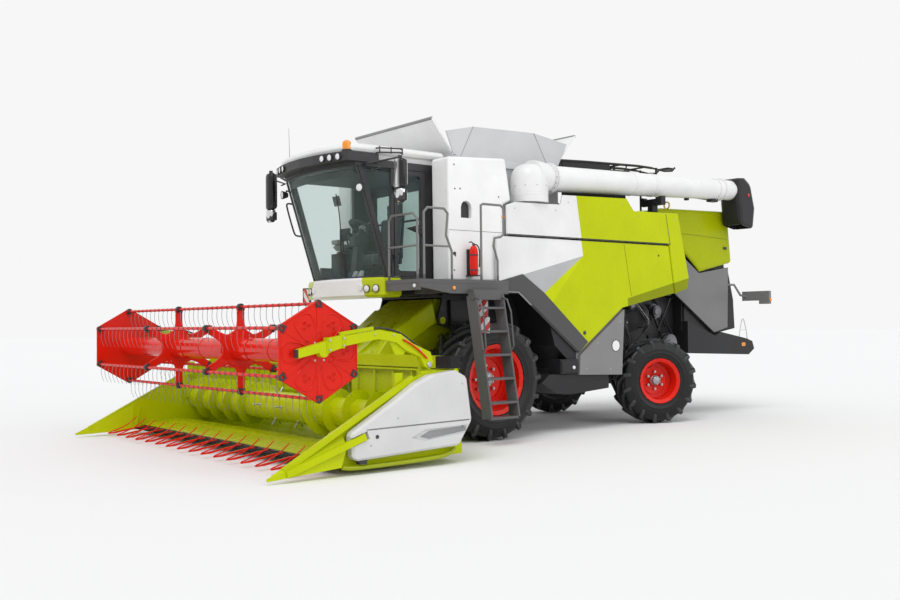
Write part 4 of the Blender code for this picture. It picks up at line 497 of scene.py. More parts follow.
def stud(low, high, radius, top=None, dome=None):
    """The profile of a small round head: its foot, its edge, its narrower top and the top's middle."""
    top = radius if top is None else top
    dome = high if dome is None else dome
    return [(AXIS, low), (radius, low), (top, high), (AXIS, dome)]


def band(inner, outer, low, high):
    """The profile of a flat ring."""
    return [(inner, low), (outer, low), (outer, high), (inner, high)]


def turns(count):
    return [2 * math.pi * number / count for number in range(count)]


def smoothed(path, radii, steps):
    """More points along a smooth line through the given ones."""
    line, sizes = [], []
    for number in range(len(path) - 1):
        a, b, c, d = (path[min(max(number + shift, 0), len(path) - 1)] for shift in (-1, 0, 1, 2))
        for step in range(steps):
            t = step / steps
            bend = (2 * a - 5 * b + 4 * c - d) * t * t + (3 * b - a - 3 * c + d) * t**3
            line.append(0.5 * (2 * b + (c - a) * t + bend))
            sizes.append(radii[number] + (radii[number + 1] - radii[number]) * t)
    return line + [path[-1]], sizes + [radii[-1]]


def piece(name, shape, finish, body="chassis", bevel=0.0, smooth=35):
    """Makes the gathered solids an object that rides on a body, with the given finish."""
    mesh = bpy.data.meshes.new(name)
    mesh.from_pydata([(x + AXLE_X, y, z) for x, y, z in shape.points], [], shape.faces)
    work = bmesh.new()
    work.from_mesh(mesh)
    bmesh.ops.recalc_face_normals(work, faces=work.faces)
    work.to_mesh(mesh)
    work.free()
    obj = bpy.data.objects.new(name, mesh)
    bpy.context.scene.collection.objects.link(obj)
    mesh.materials.append(finish)
    if bevel:
        edge = obj.modifiers.new("edges", "BEVEL")
        edge.width = bevel
        edge.segments = 2
        edge.angle_limit = math.radians(40)
        edge.harden_normals = False
    mesh.shade_smooth()
    mesh.set_sharp_from_angle(angle=math.radians(smooth))
    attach(obj, body)
    return obj


lime_paint = paint("lime_paint", LIME, *PANEL_GLOSS)
# Painted shade: the hood is the panels' lime darkened to 0.8.
hood_painted_shade = paint("hood_painted_shade", tinted(LIME, 0.80), *PANEL_GLOSS)
table_paint = table_zones("table_paint")
white_paint = paint("white_paint", WHITE)
deck_paint = deck_zones("deck_paint")
skirt_paint = skirt_zones("skirt_paint")
chevron_paint = paint("chevron_paint", CHEVRON_GREY, 0.42, 0.1)
body_paint = body_zones("body_paint")
# Painted light: the towers' white is brighter than the other white parts.
tower_painted_light = paint("tower_painted_light", (0.93, 0.93, 0.925))
# Painted shade: the header covers' white is darkened to grey.
cover_painted_shade = paint("cover_painted_shade", (0.66, 0.66, 0.66))
# Painted light: the flaps are brightened against the shade they fall in.
flap_painted_light = paint("flap_painted_light", (0.90, 0.90, 0.895), 0.36, 0.1)
tine_steel = steel("tine_steel", (0.26, 0.26, 0.27), 0.34)
hub_steel = steel("hub_steel", (0.36, 0.36, 0.37), 0.40, 0.7)
black_paint = paint("black_paint", BLACK, 0.40, 0.1, 0.03)
red_paint = paint("red_paint", RED, 0.18, 0.10, 0.02, 0.16)
tank_paint = paint("tank_paint", SHEET, 0.36, 0.1)
side_paint = side_zones("side_paint")
tyre_rubber = rubber("tyre_rubber")
# Painted highlight: the lugs are a lighter copy of the tyres' rubber.
lug_rubber_painted_highlight = rubber("lug_rubber_painted_highlight", (0.034, 0.035, 0.037))
cab_plastic = black_plastic("cab_plastic")
soft_black = black_plastic("soft_black", SOFT_BLACK, 0.65, 500)
tinted_glass = glass("tinted_glass", (0.93, 0.962, 0.955))
plain_steel = steel("plain_steel")
dark_steel = steel("dark_steel", (0.16, 0.155, 0.15), 0.42)
chrome = steel("chrome", (0.72, 0.72, 0.73), 0.14)
lamp_lens = lens("lamp_lens", (0.86, 0.87, 0.88))
amber_lens = lens("amber_lens", (0.95, 0.32, 0.02), 0.35)
red_lens = lens("red_lens", (0.62, 0.02, 0.02), 0.35)
gold_steel = steel("gold_steel", (0.72, 0.50, 0.12), 0.3)
grey_hose = black_plastic("grey_hose", (0.055, 0.055, 0.057), 0.45, 300)
warning_board = stripes("warning_board")
mirror_shell_painted_reflection = painted_reflection_shell("mirror_shell_painted_reflection")
seat_cloth = fabric("seat_cloth", (0.115, 0.120, 0.122))
groove_grey = black_plastic("groove_grey", (0.20, 0.20, 0.205), 0.45, 400)
cab_grey = black_plastic("cab_grey", (0.30, 0.31, 0.30), 0.5, 500)
cab_wall = glowing(black_plastic("cab_wall", (0.30, 0.38, 0.355), 0.25, 60), (0.42, 0.55, 0.505), 0.52)
# Painted shade: the skids are a darker copy of the lime.
skid_lime_painted_shade = paint("skid_lime_painted_shade", (0.34, 0.40, 0.002), 0.35)
mirror_glass = steel("mirror_glass", (0.80, 0.81, 0.82), 0.08)
screen_glass = black_plastic("screen_glass", (0.012, 0.016, 0.02), 0.15, 60)
bumper_paint = ends_painted("bumper_paint")
dark_lime = paint("dark_lime", (0.16, 0.19, 0.004), 0.45, 0.0, 0.0)
drive_steel = steel("drive_steel", (0.24, 0.24, 0.25), 0.45)
belt_rubber = rubber("belt_rubber")
dark_red = paint("dark_red", (0.24, 0.010, 0.008), 0.4, 0.1)

FINISHES = {
    lime_paint: ("intake_auger", "feeder_house", "reel_arm_left", "reel_arm_right"),
    table_paint: ("header_frame",),
    hood_painted_shade: ("rear_hood",),
    white_paint: ("unloading_tube", "cab_roof"),
    cover_painted_shade: ("header_cover_left", "header_cover_right"),
    tower_painted_light: ("tower_left", "tower_right"),
    skirt_paint: ("hood_skirt",),
    chevron_paint: ("door_trim_left", "door_trim_right"),
    body_paint: ("threshing_body",),
    bumper_paint: ("cab_bumper",),
    side_paint: ("side_door_left", "side_door_right", "upper_panel_left", "upper_panel_right"),
    deck_paint: ("platform_left",),
    black_paint: (
        "engine_block", "straw_spreader", "front_axle", "rear_axle",
        "rear_knuckle_left", "rear_knuckle_right", "unloading_spout", "lift_barrels",
    ),
    red_paint: (
        "reel_frame", "cutter_bar", "front_rim_left", "front_rim_right", "rear_rim_left", "rear_rim_right",
        *(f"tine_bar_{number}" for number in range(1, 7)),
    ),
    tank_paint: ("grain_tank",),
    flap_painted_light: ("tank_flap_front", "tank_flap_rear"),
    tyre_rubber: ("front_tyre_left", "front_tyre_right", "rear_tyre_left", "rear_tyre_right"),
    cab_plastic: ("cab_frame", "cab_door", "steering_column", "operator_seat"),
    tinted_glass: ("windscreen", "side_window", "quarter_window", "door_glass"),
    chrome: ("lift_rods",),
}


def dress_nodes():
    """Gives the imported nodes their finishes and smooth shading."""
    for finish, names in FINISHES.items():
        for name in names:
            mesh = nodes[name].data
            mesh.materials.clear()
            mesh.materials.append(finish)
            mesh.shade_smooth()
            mesh.set_sharp_from_angle(angle=math.radians(38))


# The sky as it lights the machine, and as the camera, the glass and the gloss see it.
SKY_LIGHT = (0.67, 0.675, 0.69)
SKY_SEEN = (0.93, 0.93, 0.93)


def make_stage():
    """A pale floor to the horizon, a soft sky and two wide lamps."""
    mesh = bpy.data.meshes.new("floor")
    work = bmesh.new()
    bmesh.ops.create_grid(work, x_segments=8, y_segments=8, size=150)
    work.to_mesh(mesh)
    work.free()
    floor = bpy.data.objects.new("floor", mesh)
    bpy.context.scene.collection.objects.link(floor)
    shader = Shader("floor_paint")
    shader.set(Base_Color=shader.mix(shader.noise(0.4, 2), (0.872, 0.872, 0.868), (0.885, 0.885, 0.880)))
    shader.set(Roughness=0.9, Specular_IOR_Level=0.1)
    mesh.materials.append(shader.material)

    world = bpy.data.worlds.new("studio")
    bpy.context.scene.world = world
    world.use_nodes = True
    tree = world.node_tree
    path = tree.nodes.new("ShaderNodeLightPath")
    seen = tree.nodes.new("ShaderNodeMath")
    seen.operation = "MAXIMUM"
    tree.links.new(path.outputs["Is Camera Ray"], seen.inputs[0])
    tree.links.new(path.outputs["Is Transmission Ray"], seen.inputs[1])
    mirrored = tree.nodes.new("ShaderNodeMath")
    mirrored.operation = "MAXIMUM"
    tree.links.new(seen.outputs[0], mirrored.inputs[0])
    tree.links.new(path.outputs["Is Glossy Ray"], mirrored.inputs[1])
    background = tree.nodes["Background"]
    mixed = tree.nodes.new("ShaderNodeMix")
    mixed.data_type = "RGBA"
    tree.links.new(mirrored.outputs[0], mixed.inputs[0])
    mixed.inputs[6].default_value = (*SKY_LIGHT, 1)
    mixed.inputs[7].default_value = (*SKY_SEEN, 1)
    tree.links.new(mixed.outputs[2], background.inputs[0])
    background.inputs[1].default_value = 1

    for name, power, angle, turn, tilt in (
        ("key", 1.25, 35, 35, 38),
        ("side", 0.55, 50, 110, 62),
    ):
        data = bpy.data.lights.new(name, "SUN")
        data.energy = power
        data.angle = math.radians(angle)
        lamp = bpy.data.objects.new(name, data)
        lamp.rotation_euler = (0, math.radians(tilt), math.radians(turn))
        bpy.context.scene.collection.objects.link(lamp)


make_camera()
make_stage()
dress_nodes()


# The reel: its bars and tines, the bearings and the pressed plates.
REEL_X, REEL_Z, REEL_R, REEL_HALF = 3.43, 1.296, 0.50, 2.70
HEADER_HALF = 2.78
SUPPORTS = (-REEL_HALF, -REEL_HALF / 3, REEL_HALF / 3, REEL_HALF)


def reel_corner(corner, radius=REEL_R):
    angle = math.radians(30 + 60 * corner)
    return REEL_X + radius * math.cos(angle), REEL_Z + radius * math.sin(angle)


def make_tine_bars():
    """Six bars with their hanging spring tines and clips."""
    reach = REEL_HALF - 0.0203
    rows = [-2.59 + 0.147 * number for number in range(12)]
    rows = rows + [-y for y in rows] + [-0.828 + 0.138 * number for number in range(13)]
    for corner in range(6):
        name = f"tine_bar_{corner + 1}"
        x, z = reel_corner(corner)
        bar = Shape().tube([(x, -reach, z), (x, reach, z)], 0.018, 12)
        shown = piece(name + "_tube", bar, red_paint, name)
        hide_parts(name)
        tines, clips = shapes(2)
        for y in rows:
            coil = [(x, y - 0.011, z - 0.018), (x + 0.004, y - 0.004, z - 0.030)]
            hook = [
                (x + 0.010, y, z - 0.085), (x + 0.006, y, z - 0.150), (x - 0.012, y, z - 0.205),
                (x - 0.032, y, z - 0.248),
            ]
            tines.tube(coil + hook, [0.0030, 0.0030, 0.0030, 0.0028, 0.0026, 0.0023], 5, 2)
            clips.tube([(x, y - 0.016, z), (x, y - 0.006, z), (x, y + 0.016, z)], [0.0200, 0.0212, 0.0200], 8)
        piece(name + "_tines", tines, tine_steel, name)
        piece(name + "_clips", clips, dark_red, name)


def make_reel_details():
    """Bearings on every corner, ribs and bolts on the end plates, folded rims on the open supports."""
    bearings, ribs, bolts, bands = shapes(4)
    for y in SUPPORTS:
        for corner in range(6):
            x, z = reel_corner(corner)
            inward, outward = (0.052, 0.012) if abs(y) == REEL_HALF else (0.032, 0.032)
            low, high = (y - inward, y + outward) if y > 0 else (y - outward, y + inward)
            profile = [
                (0.0188, low), (0.036, low), (0.040, low + 0.006),
                (0.040, high - 0.006), (0.036, high), (0.0188, high),
            ]
            bearings.lathe(profile, (x, 0, z), ACROSS, 18)
            ux, uz = (x - REEL_X) / REEL_R, (z - REEL_Z) / REEL_R
            for turn in (-0.034, 0.034):
                at = (x - ux * 0.036 - uz * turn, z - uz * 0.036 + ux * turn)
                bearings.tube([(at[0], low + 0.004, at[1]), (at[0], high - 0.004, at[1])], 0.009, 8)
    for sign in (1, -1):
        face = sign * REEL_HALF
        for corner in range(6):
            middle = 60 * corner + 60
            path = []
            for radius, turn in (
                (0.16, -18), (0.235, -22), (0.40, -15), (0.435, 0), (0.40, 15), (0.235, 22), (0.16, 18),
            ):
                angle = math.radians(middle + turn)
                path.append((REEL_X + radius * math.cos(angle), face, REEL_Z + radius * math.sin(angle)))
            ribs.tube(path, 0.0105, 8, 4)
            for radius, turn in ((0.30, -6), (0.30, 6), (0.345, 0)):
                angle = math.radians(middle + turn)
                at = (REEL_X + radius * math.cos(angle), 0, REEL_Z + radius * math.sin(angle))
                ribs.lathe(
                    [
                        (0.010, face - 0.006), (0.022, face - 0.006), (0.020, face + 0.008),
                        (0.012, face + 0.010),
                    ],
                    at, ACROSS, 14,
                )
            rim = [reel_corner(corner, 0.531), reel_corner(corner + 1, 0.531)]
            ribs.tube([(rim[0][0], face, rim[0][1]), (rim[1][0], face, rim[1][1])], 0.009, 6)
            angle = math.radians(60 * corner)
            at = (REEL_X + 0.105 * math.cos(angle), 0, REEL_Z + 0.105 * math.sin(angle))
            bolts.lathe(stud(face - 0.004, face + 0.010, 0.012, 0.012, face + 0.012), at, ACROSS, 6)
        bands.lathe(band(0.052, 0.135, face - 0.03, face + 0.007), (REEL_X, 0, REEL_Z), ACROSS, 36)
        y = sign * REEL_HALF / 3
        for corner in range(6):
            path = []
            for radius, turn in (
                (0.222, 30), (0.238, 14), (0.33, 6.2), (0.448, 4.6), (0.448, -4.6), (0.33, -6.2),
                (0.238, -14), (0.222, -30),
            ):
                angle = math.radians(30 + 60 * corner + turn)
                path.append((REEL_X + radius * math.cos(angle), y, REEL_Z + radius * math.sin(angle)))
            for part_path in (path[:4], path[4:]):
                ribs.tube(part_path, 0.014, 6, 4)
        for shift in (-0.30, 0.0, 0.30):
            at = y + shift
            bands.lathe(band(0.120, 0.137, at - 0.05, at + 0.05), (REEL_X, 0, REEL_Z), ACROSS, 36)
    for y in (-1.8, -0.9, 0.0, 0.9, 1.8):
        bands.lathe(band(0.120, 0.134, y - 0.008, y + 0.008), (REEL_X, 0, REEL_Z), ACROSS, 36)
    piece("reel_bearings", bearings, cab_plastic, "reel")
    piece("reel_ribs", ribs, red_paint, "reel")
    piece("reel_bands", bands, red_paint, "reel")
    piece("reel_bolts", bolts, plain_steel, "reel")


# The knife: black back and guards, bright sections and red crop lifters.
KNIFE_X, KNIFE_Z = 3.16, 0.09


def make_knife():
    """The knife's back, guards and sections, and the crop lifters before it."""
    reach = HEADER_HALF - 0.055
    back = Shape().box(
        (KNIFE_X + 0.0128, KNIFE_X + 0.085), (-reach, reach), (KNIFE_Z - 0.018, KNIFE_Z + 0.030),
    )
    back.box((KNIFE_X + 0.02, KNIFE_X + 0.075), (-reach, reach), (KNIFE_Z + 0.025, KNIFE_Z + 0.040))
    guards, blades, lifters, straps = shapes(4)
    count = 70
    pitch = 2 * (reach - 0.04) / count
    for number in range(count + 1):
        y = -reach + 0.04 + number * pitch
        rings = []
        for x, half, low, high in (
            (0.05, 0.016, -0.020, 0.030), (0.10, 0.014, -0.022, 0.030), (0.155, 0.009, -0.014, 0.024),
            (0.20, 0.002, 0.000, 0.008),
        ):
            rings.append([
                (KNIFE_X + x, y - half, KNIFE_Z + low), (KNIFE_X + x, y + half, KNIFE_Z + low),
                (KNIFE_X + x, y + half * 0.7, KNIFE_Z + high), (KNIFE_X + x, y - half * 0.7, KNIFE_Z + high),
            ])
        guards.rings(rings)
        if number < count:
            m = y + pitch / 2
            outline = [
                (KNIFE_X + 0.06, m - 0.034), (KNIFE_X + 0.135, m - 0.006), (KNIFE_X + 0.135, m + 0.006),
                (KNIFE_X + 0.06, m + 0.034),
            ]
            blades.slab(outline, KNIFE_Z + 0.004, KNIFE_Z + 0.009, flat=True)
    count = 16
    pitch = 2 * (HEADER_HALF - 0.17) / (count - 1)
    for number in range(count):
        y = -HEADER_HALF + 0.17 + number * pitch
        finger = []
        for x, z in ((0.612, -0.036), (0.585, -0.020), (0.48, 0.012), (0.33, 0.075), (0.19, 0.180)):
            finger.append((KNIFE_X + x, y, KNIFE_Z + z))
        lifters.tube(finger, [0.006, 0.008, 0.009, 0.008, 0.006], 8, 3)
        runner = [
            (KNIFE_X + 0.03, 0.044), (KNIFE_X + 0.20, 0.032), (KNIFE_X + 0.60, -0.030),
            (KNIFE_X + 0.605, -0.043),
        ]
        runner += [(KNIFE_X + 0.50, -0.040), (KNIFE_X + 0.20, 0.016), (KNIFE_X + 0.03, 0.028)]
        lifters.slab([(x, KNIFE_Z + z) for x, z in runner], y - 0.014, y + 0.014)
        straps.slab(
            [
                (KNIFE_X + 0.03, KNIFE_Z + 0.040), (KNIFE_X + 0.075, KNIFE_Z + 0.048),
                (KNIFE_X + 0.075, KNIFE_Z + 0.035),
            ],
            y - 0.022, y + 0.022,
        )
    bar = piece("knife_back", back, black_paint, "header", bevel=0.003)
    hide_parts("cutter_bar")
    piece("knife_guards", guards, black_paint, "header")
    piece("knife_sections", blades, plain_steel, "header")
    piece("crop_lifters", lifters, red_paint, "header", bevel=0.002)
    piece("lifter_straps", straps, black_paint, "header")


def make_arm_details():
    """Caps, clamps, bolts and hoses along both reel arms."""
    caps, clamps, bolts, hoses, red_hose = shapes(5)
    caps.box((3.7302, 3.742), (2.728, 2.802), (1.238, 1.323))
    for x, low, high in ((3.205, 1.325, 1.462), (3.375, 1.283, 1.442)):
        clamps.box((x - 0.014, x + 0.014), (2.727, 2.826), (low, high))
        for z in (low + 0.03, high - 0.03):
            bolts.lathe(stud(2.824, 2.838, 0.013, 0.013, 2.840), (x, 0, z), ACROSS, 6)
    for x, z in ((2.20, 1.29), (2.42, 1.415), (2.56, 1.455), (2.80, 1.465)):
        bolts.lathe(stud(2.80, 2.812, 0.011, 0.011, 2.814), (x, 0, z), ACROSS, 6)
    bolts.lathe(
        [(AXIS, 2.80), (0.034, 2.80), (0.034, 2.815), (0.022, 2.825), (AXIS, 2.825)], (2.08, 0, 1.12),
        ACROSS, 20,
    )
    for shift in (0.0, 0.022):
        y = 2.748 + shift
        route = [
            (2.10, 1.235), (2.20, 1.325), (2.33, 1.405), (2.47, 1.485), (2.73, 1.536), (2.98, 1.500),
            (3.15, 1.475),
        ]
        hoses.tube([(x, y, z + 0.002) for x, z in route], 0.0095, 8, 4)
    red_hose.tube(
        [(2.12, 2.822, 1.19), (2.22, 2.824, 1.275), (2.34, 2.822, 1.355), (2.44, 2.818, 1.405)], 0.010, 8,
        4,
    )
    on_both_sides(caps, clamps, bolts, hoses, red_hose)
    piece("arm_caps", caps, soft_black, "reel_arms", bevel=0.003)
    piece("arm_clamps", clamps, lime_paint, "reel_arms", bevel=0.003)
    piece("arm_bolts", bolts, plain_steel, "reel_arms")
    piece("arm_hoses", hoses, soft_black, "reel_arms")
    piece("arm_red_hoses", red_hose, red_paint, "reel_arms")


def make_header_details():
    """Screws and the chamfered strip on the covers, skids, ribs and stiffeners of the header."""
    screws, strips, knobs, pipes, box_part, ribs = shapes(6)
    face = 2.94
    for x, z in ((2.60, 0.567), (1.72, 0.90), (1.70, 0.42), (2.95, 0.30)):
        screws.lathe(stud(face - 0.006, face + 0.003, 0.013, 0.010, face + 0.004), (x, 0, z), ACROSS, 14)
    knobs.lathe(stud(face - 0.006, face + 0.006, 0.022, 0.020, face + 0.007), (2.87, 0, 0.388), ACROSS, 18)
    strips.slab([(1.62, 0.478), (2.96, 0.454), (2.96, 0.466), (1.62, 0.491)], face - 0.016, face - 0.012)
    strips.slab(
        [(1.66, 0.42), (2.16, 0.40), (2.30, 0.345), (2.18, 0.318), (1.66, 0.37)], face - 0.017,
        face - 0.0135,
    )
    pipes.tube(
        [
            (3.27, 2.87, 0.093), (3.05, 2.89, 0.075), (2.20, 2.89, 0.090), (1.90, 2.88, 0.115),
            (1.76, 2.84, 0.17),
        ],
        0.024, 10, 4,
    )
    pipes.slab([(1.78, 0.098), (2.95, 0.060), (2.95, 0.080), (1.78, 0.118)], 2.70, 2.81)
    box_part.box((2.98, 3.08), (2.85, 2.92), (0.11, 0.155))
    for y in [-2.4 + 0.4 * number for number in range(13)]:
        if abs(y) > 0.70:
            ribs.slab([(1.735, 0.68), (1.748, 0.68), (1.748, 1.05), (1.735, 1.05)], y - 0.012, y + 0.012)
    ribs.box((1.73, 1.76), (-2.74, 2.74), (1.02, 1.045))
    ribs.box((1.73, 1.752), (-2.74, -0.66), (0.66, 0.682))
    ribs.box((1.73, 1.752), (0.66, 2.74), (0.66, 0.682))
    on_both_sides(screws, strips, knobs, pipes, box_part)
    piece("cover_screws", screws, plain_steel, "header")
    piece("cover_grooves", strips, groove_grey, "header")
    piece("cover_knobs", knobs, soft_black, "header")
    piece("side_skids", pipes, skid_lime_painted_shade, "header")
    piece("skid_boxes", box_part, soft_black, "header", bevel=0.006)
    piece("back_wall_ribs", ribs, lime_paint, "header", bevel=0.002)


make_tine_bars()
make_reel_details()
make_knife()
make_arm_details()
make_header_details()


# The cab: lamps, mirrors, wipers, handles and what is seen through the glass.
def pillar_x(z):
    return 1.32 + 0.51 * (z - 2.10) / 1.62


def pane_x(y, z):
    return pillar_x(z) + 0.13 * (1 - (y / 0.92) ** 2)


def lamp(shell, glass_part, at, ahead, radius, depth):
    """A round lamp: its housing and its domed glass."""
    profile = [(AXIS, -depth), (radius * 0.62, -depth), (radius * 0.98, -depth * 0.3), (radius * 1.06, 0.0)]
    profile += [(radius * 1.06, 0.008), (radius * 0.92, 0.008), (radius * 0.92, 0.002), (AXIS, 0.0)]
    shell.lathe(profile, at, ahead, 20)
    dome = [
        (AXIS, 0.001), (radius * 0.90, 0.001), (radius * 0.90, 0.005), (radius * 0.6, 0.012), (AXIS, 0.015),
    ]
    glass_part.lathe(dome, at, ahead, 20)


def make_lamps():
    """Work lamps on the roof, the bumper and the pillars, the beacon and the aerial."""
    shells, lenses = shapes(2)
    for y in (-0.80, -0.66, -0.52, 0.52, 0.66, 0.80):
        x = 1.95 + 0.17 * (1 - (y / 0.95) ** 2)
        lamp(shells, lenses, (x + 0.012, y, 3.726), (1, 0.38 * y, -0.03), 0.044, 0.02)
    for y in (-0.865, -0.72, 0.72, 0.865):
        x = 1.44 + 0.19 * (1 - (y / 0.96) ** 2)
        lamp(shells, lenses, (x + 0.012, y, 2.045), (1, 0.42 * y, -0.03), 0.050, 0.03)
    lamp(shells, lenses, (pillar_x(3.33) + 0.075, 0.945, 3.33), (1, 0.45, -0.05), 0.052, 0.07)
    lamp(shells, lenses, (pillar_x(3.44) + 0.06, -1.05, 3.44), (1, -0.2, -0.05), 0.056, 0.08)
    shells.tube(
        [
            (pillar_x(3.46), -0.90, 3.47), (pillar_x(3.46) + 0.01, -1.0, 3.50),
            (pillar_x(3.44) + 0.01, -1.05, 3.46),
        ],
        0.012, 8,
    )
    shells.tube([(pillar_x(3.33) - 0.005, 0.90, 3.35), (pillar_x(3.33) + 0.02, 0.925, 3.335)], 0.016, 8)
    lamp(shells, lenses, (1.398, 1.60, 2.055), (1, 0.3, 0), 0.030, 0.02)
    piece("lamp_housings", shells, cab_plastic)
    piece("lamp_glasses", lenses, lamp_lens)
    base, dome = shapes(2)
    at = (1.905, 0.85, 3.7895)
    base.lathe([(AXIS, 0), (0.066, 0), (0.068, 0.020), (0.060, 0.030), (AXIS, 0.030)], at, UP, 32)
    low = [(AXIS, 0.0302), (0.057, 0.0302), (0.060, 0.095), (0.052, 0.128), (0.028, 0.148), (AXIS, 0.151)]
    dome.lathe(low, at, UP, 32)
    piece("beacon_base", base, cab_plastic)
    piece("beacon_dome", dome, amber_lens)
    aerial = Shape().tube(
        [(1.757, -0.9, 3.86), (1.758, -0.9, 3.945), (1.762, -0.9, 3.95), (1.775, -0.9, 4.38)],
        [0.014, 0.010, 0.0035, 0.002], 8,
    )
    piece("aerial", aerial, cab_plastic)


def make_mirrors():
    """Curved mirror backs over the housings, with their mirror faces turned to the rear."""
    backs, silver, small, clamps = shapes(4)
    for x, y, top, height in ((1.46, 1.40, 3.66, 0.36), (1.74, -1.50, 3.80, 0.52)):
        for low, high, half, group in (
            (top - height + 0.004, top + 0.004, 0.104, backs),
            (top - height - 0.190, top - height - 0.012, 0.094, small),
        ):
            rings = []
            for share in (0.0, 0.04, 0.12, 0.5, 0.88, 0.96, 1.0):
                size = 1 - (0.22 if share in (0.0, 1.0) else 0.07 if share in (0.04, 0.96) else 0.0)
                if group is small:
                    size *= 0.35 + 0.65 * min(1, 1.6 * share) ** 0.6
                z = low + (high - low) * share
                ring = []
                for step in range(13):
                    angle = math.pi * step / 12
                    ring.append(
                        (
                            x + 0.012 + 0.050 * size * math.sin(angle) ** 0.7,
                            y + half * size * math.cos(angle), z,
                        )
                    )
                ring.append((x - 0.004, y - half * size, z))
                ring.append((x - 0.004, y + half * size, z))
                rings.append(ring)
            group.rings(rings)
            silver.box(
                (x - 0.0545, x - 0.0505), (y - half + 0.022, y + half - 0.022), (low + 0.03, high - 0.03),
            )
        clamps.lathe(band(0.0165, 0.028, -0.03, 0.03), (x + 0.002, y, top + 0.02), UP, 16)
        side = math.copysign(1, y)
        clamps.tube(
            [
                (x + 0.14, side * 0.93, 3.56), (x + 0.03, side * 1.02, 3.60),
                (x + 0.0, y - side * 0.10, top - 0.10),
            ],
            0.011, 8,
        )
    piece("mirror_backs", backs, mirror_shell_painted_reflection, smooth=50)
    piece("mirror_small_backs", small, chrome, smooth=50)
    piece("mirror_faces", silver, mirror_glass)
    piece("mirror_clamps", clamps, cab_plastic)


def make_cab_outside():
    """Seals round the windscreen, the grab rails, the wiper and the door's handle."""
    trim, handles, wipers = shapes(3)
    for side in (1, -1):
        path = [(pane_x(side * 0.905, z) + 0.006, side * 0.905, z) for z in (2.21, 2.6, 3.0, 3.4, 3.61)]
        trim.tube(path, 0.016, 8)
    lower = [(pane_x(y, 2.205) + 0.008, y, 2.205) for y in (-0.90, -0.6, -0.3, 0, 0.3, 0.6, 0.90)]
    trim.tube(lower, 0.014, 8, 2)
    handles.tube([
        (pillar_x(3.30) + 0.02, -0.905, 3.30), (pillar_x(3.30) + 0.06, -0.98, 3.31),
        (pillar_x(3.24) + 0.07, -1.0, 3.24),
        (pillar_x(2.92) + 0.07, -1.0, 2.92), (pillar_x(2.86) + 0.05, -0.98, 2.86),
        (pillar_x(2.85) + 0.01, -0.905, 2.85),
    ], 0.013, 8, 3)
    handles.tube([(1.52, 0.945, 3.80), (1.50, 1.0, 3.80), (1.14, 1.0, 3.83), (1.12, 0.945, 3.83)], 0.010, 8)
    handles.tube([(1.52, 0.945, 3.86), (1.50, 1.0, 3.86), (1.14, 1.0, 3.88), (1.12, 0.945, 3.88)], 0.010, 8)
    for x in (1.50, 1.32, 1.14):
        handles.tube([(x, 1.0, 3.80), (x, 1.0, 3.885)], 0.008, 8)
    foot, elbow = (pane_x(0.15, 2.20) + 0.03, 0.15, 2.20), (pane_x(0.30, 2.62) + 0.028, 0.30, 2.62)
    wipers.tube([foot, elbow, (pane_x(0.33, 2.80) + 0.026, 0.33, 2.80)], [0.012, 0.008, 0.006], 8)
    blade = [
        (pane_x(y, z) + 0.016, y, z)
        for y, z in ((0.16, 2.36), (0.22, 2.6), (0.33, 2.85), (0.40, 3.1), (0.43, 3.3))
    ]
    wipers.tube(blade, 0.007, 6, 2)
    wipers.lathe(stud(-0.012, 0.016, 0.022, 0.020, 0.020), foot, (1, 0, 0.3), 16)
    piece("cab_trim", trim, soft_black)
    piece("cab_handles", handles, cab_plastic)
    piece("wipers", wipers, soft_black)
    handle = Shape().box((0.775, 0.93), (0.9505, 0.972), (2.835, 2.862))
    handle.tube([(0.80, 0.96, 2.85), (0.80, 0.985, 2.85), (0.96, 0.985, 2.84), (0.96, 0.955, 2.84)], 0.008, 8)
    piece("cab_door_handle", handle, soft_black, "cab_door", bevel=0.003)


def make_cab_inside():
    """Right console with its lever, screens, foot plates, sun blind and the roof's lining."""
    soft, metal, screen = shapes(3)
    soft.box((0.50, 1.12), (-0.84, -0.62), (2.2005, 2.60))
    soft.box((0.47, 1.02), (-0.85, -0.58), (2.60, 2.64))
    soft.tube([(1.08, -0.33, 2.72), (1.10, -0.33, 2.80)], 0.020, 10)
    soft.lathe(
        [(AXIS, 0.0), (0.024, 0.004), (0.030, 0.03), (0.026, 0.07), (AXIS, 0.085)], (1.10, -0.33, 2.79),
        (0.2, 0, 1), 16,
    )
    soft.box((0.62, 0.66), (-0.83, -0.60), (2.64, 3.02))
    for y in (0.10, 0.24):
        metal.slab([(1.30, 2.2005), (1.36, 2.2005), (1.30, 2.31), (1.28, 2.30)], y - 0.04, y + 0.04)
    screen.slab([(1.1745, 2.775), (1.178, 2.775), (1.178, 2.925), (1.1745, 2.925)], -0.51, -0.29)
    screen.slab([(1.05, 3.30), (1.06, 3.30), (1.10, 3.44), (1.09, 3.44)], -0.84, -0.66)
    blind = [(pane_x(y, 3.52) - 0.035, y) for y in (-0.80, -0.5, -0.25, 0, 0.25, 0.5, 0.80)]
    rings = []
    for x, y in blind:
        rings.append([(x, y, 3.50), (x + 0.004, y, 3.50), (x + 0.02, y, 3.6), (x + 0.016, y, 3.6)])
    soft.rings(rings)
    soft.box((0.452, 1.60), (-0.80, 0.80), (3.585, 3.605))
    piece("cab_console", soft, soft_black, bevel=0.008)
    piece("cab_pedals", metal, plain_steel, bevel=0.003)
    piece("cab_screens", screen, screen_glass)


def applied(obj):
    """Gives the object the mesh that its modifiers make, and takes them off."""
    graph = bpy.context.evaluated_depsgraph_get()
    mesh = bpy.data.meshes.new_from_object(obj.evaluated_get(graph))
    obj.modifiers.clear()
    obj.data = mesh
    return mesh


